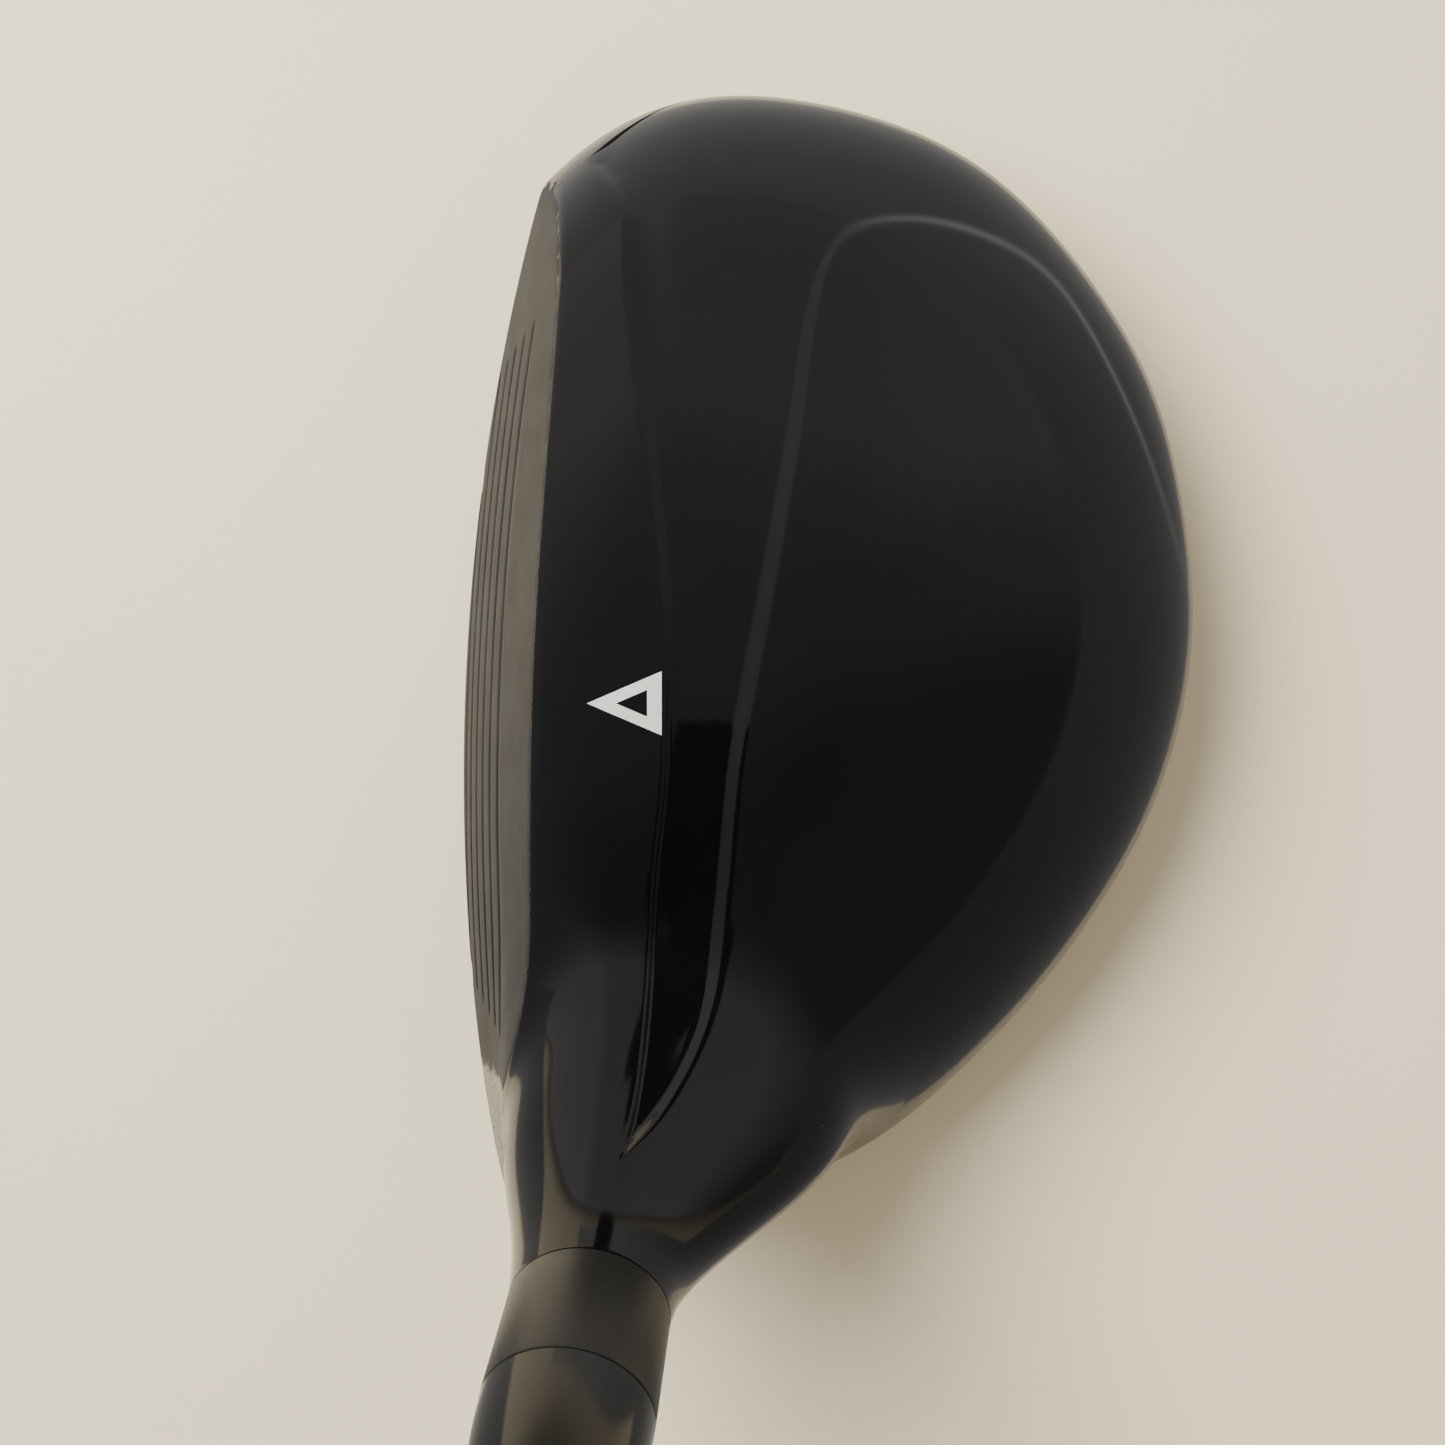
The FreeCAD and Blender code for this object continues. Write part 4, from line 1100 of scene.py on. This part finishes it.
def make_screen():
    """A dim screen round the toe, back and heel, seen only in gloss, brighter at the toe."""
    turns = np.linspace(-170, 128, 90)
    by_shaft = 1 - ramp(-82, -62, turns)
    turns = np.radians(turns)
    away = SCREEN_AWAY + (SCREEN_SHAFT_AWAY - SCREEN_AWAY) * by_shaft
    top = SCREEN_TOP + (SCREEN_SHAFT_TOP - SCREEN_TOP) * by_shaft
    reach = np.interp(turns, WAIST_ANGLES, WAIST_RADII) + away
    x, y = MIDDLE[0] + reach * np.cos(turns), MIDDLE[1] + reach * np.sin(turns)
    foot = np.full(len(x), SCREEN_BOTTOM)
    points = np.concatenate([np.column_stack([x, y, level]) for level in (foot, top)])
    screen = new_object("dim_screen", points, strip_faces(2, len(x)))
    made, tree, shader = new_material("dim_screen")
    shader.inputs["Base Color"].default_value = (0, 0, 0, 1)
    shader.inputs["Emission Color"].default_value = (1, 0.96, 0.92, 1)
    toe = node(tree, "ShaderNodeSeparateXYZ", {"Vector": place(tree)}).outputs["Y"]
    tree.links.new(remap(tree, toe, -40, 62, 0.4, 1.0), shader.inputs["Emission Strength"])
    screen.data.materials.append(made)
    seen_in_gloss_only(screen)


def make_floor():
    size, steps = 3.0, 24
    corners = np.linspace(-size / 2, size / 2, steps + 1) / MM
    points = [(x, y, 0) for y in corners for x in corners]
    floor = new_object("floor", points, strip_faces(steps + 1, steps + 1))
    made, tree, shader = new_material("floor")
    where = place(tree)
    cloud = noise(tree, where, 0.01, 4)
    base = mix_colour(tree, cloud, (0.74, 0.645, 0.46), (0.78, 0.685, 0.5))
    tree.links.new(base, shader.inputs["Base Color"])
    shader.inputs["Roughness"].default_value = 0.55
    tree.links.new(bump(tree, noise(tree, where, 0.8, 4), 0.08, 0.05), shader.inputs["Normal"])
    floor.data.materials.append(made)


# ---------------------------------------------------------------- the build

make_camera()
make_world()
make_floor()
make_light("window", (-0.17, 0.16, 0.4), (-0.1, 0.08, 0), 0.34, 4.6, (1, 0.985, 0.95))
make_light("fill", (0.7, -0.5, 1.4), (0, 0, 0), 1.4, 6, (1, 0.84, 0.58))
make_card()
make_screen()
materials = {name: make(name, *looks) for name, (make, *looks) in FINISHES.items()}
make_mark(make_head())
make_hosel()
make_weight_seat()
make_badge()
make_shaft_pieces()

CARRIED = {
    "thread_insert": "brass", "swing_weight_plug": "brass", "butt_plug": "foam", "grip_tape": "tape",
    "bolt_washer": "retainer_plastic", "hosel_bolt": "fastener_steel", "bolt_retainer": "retainer_plastic",
    "weight_washer": "retainer_plastic", "rear_weight": "weight_metal", "tungsten_bar": "ballast",
    "hot_melt_pad": "hot_melt",
}
for name, finish in CARRIED.items():
    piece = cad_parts[name]
    for slot in piece.material_slots:
        slot.material = materials[finish]
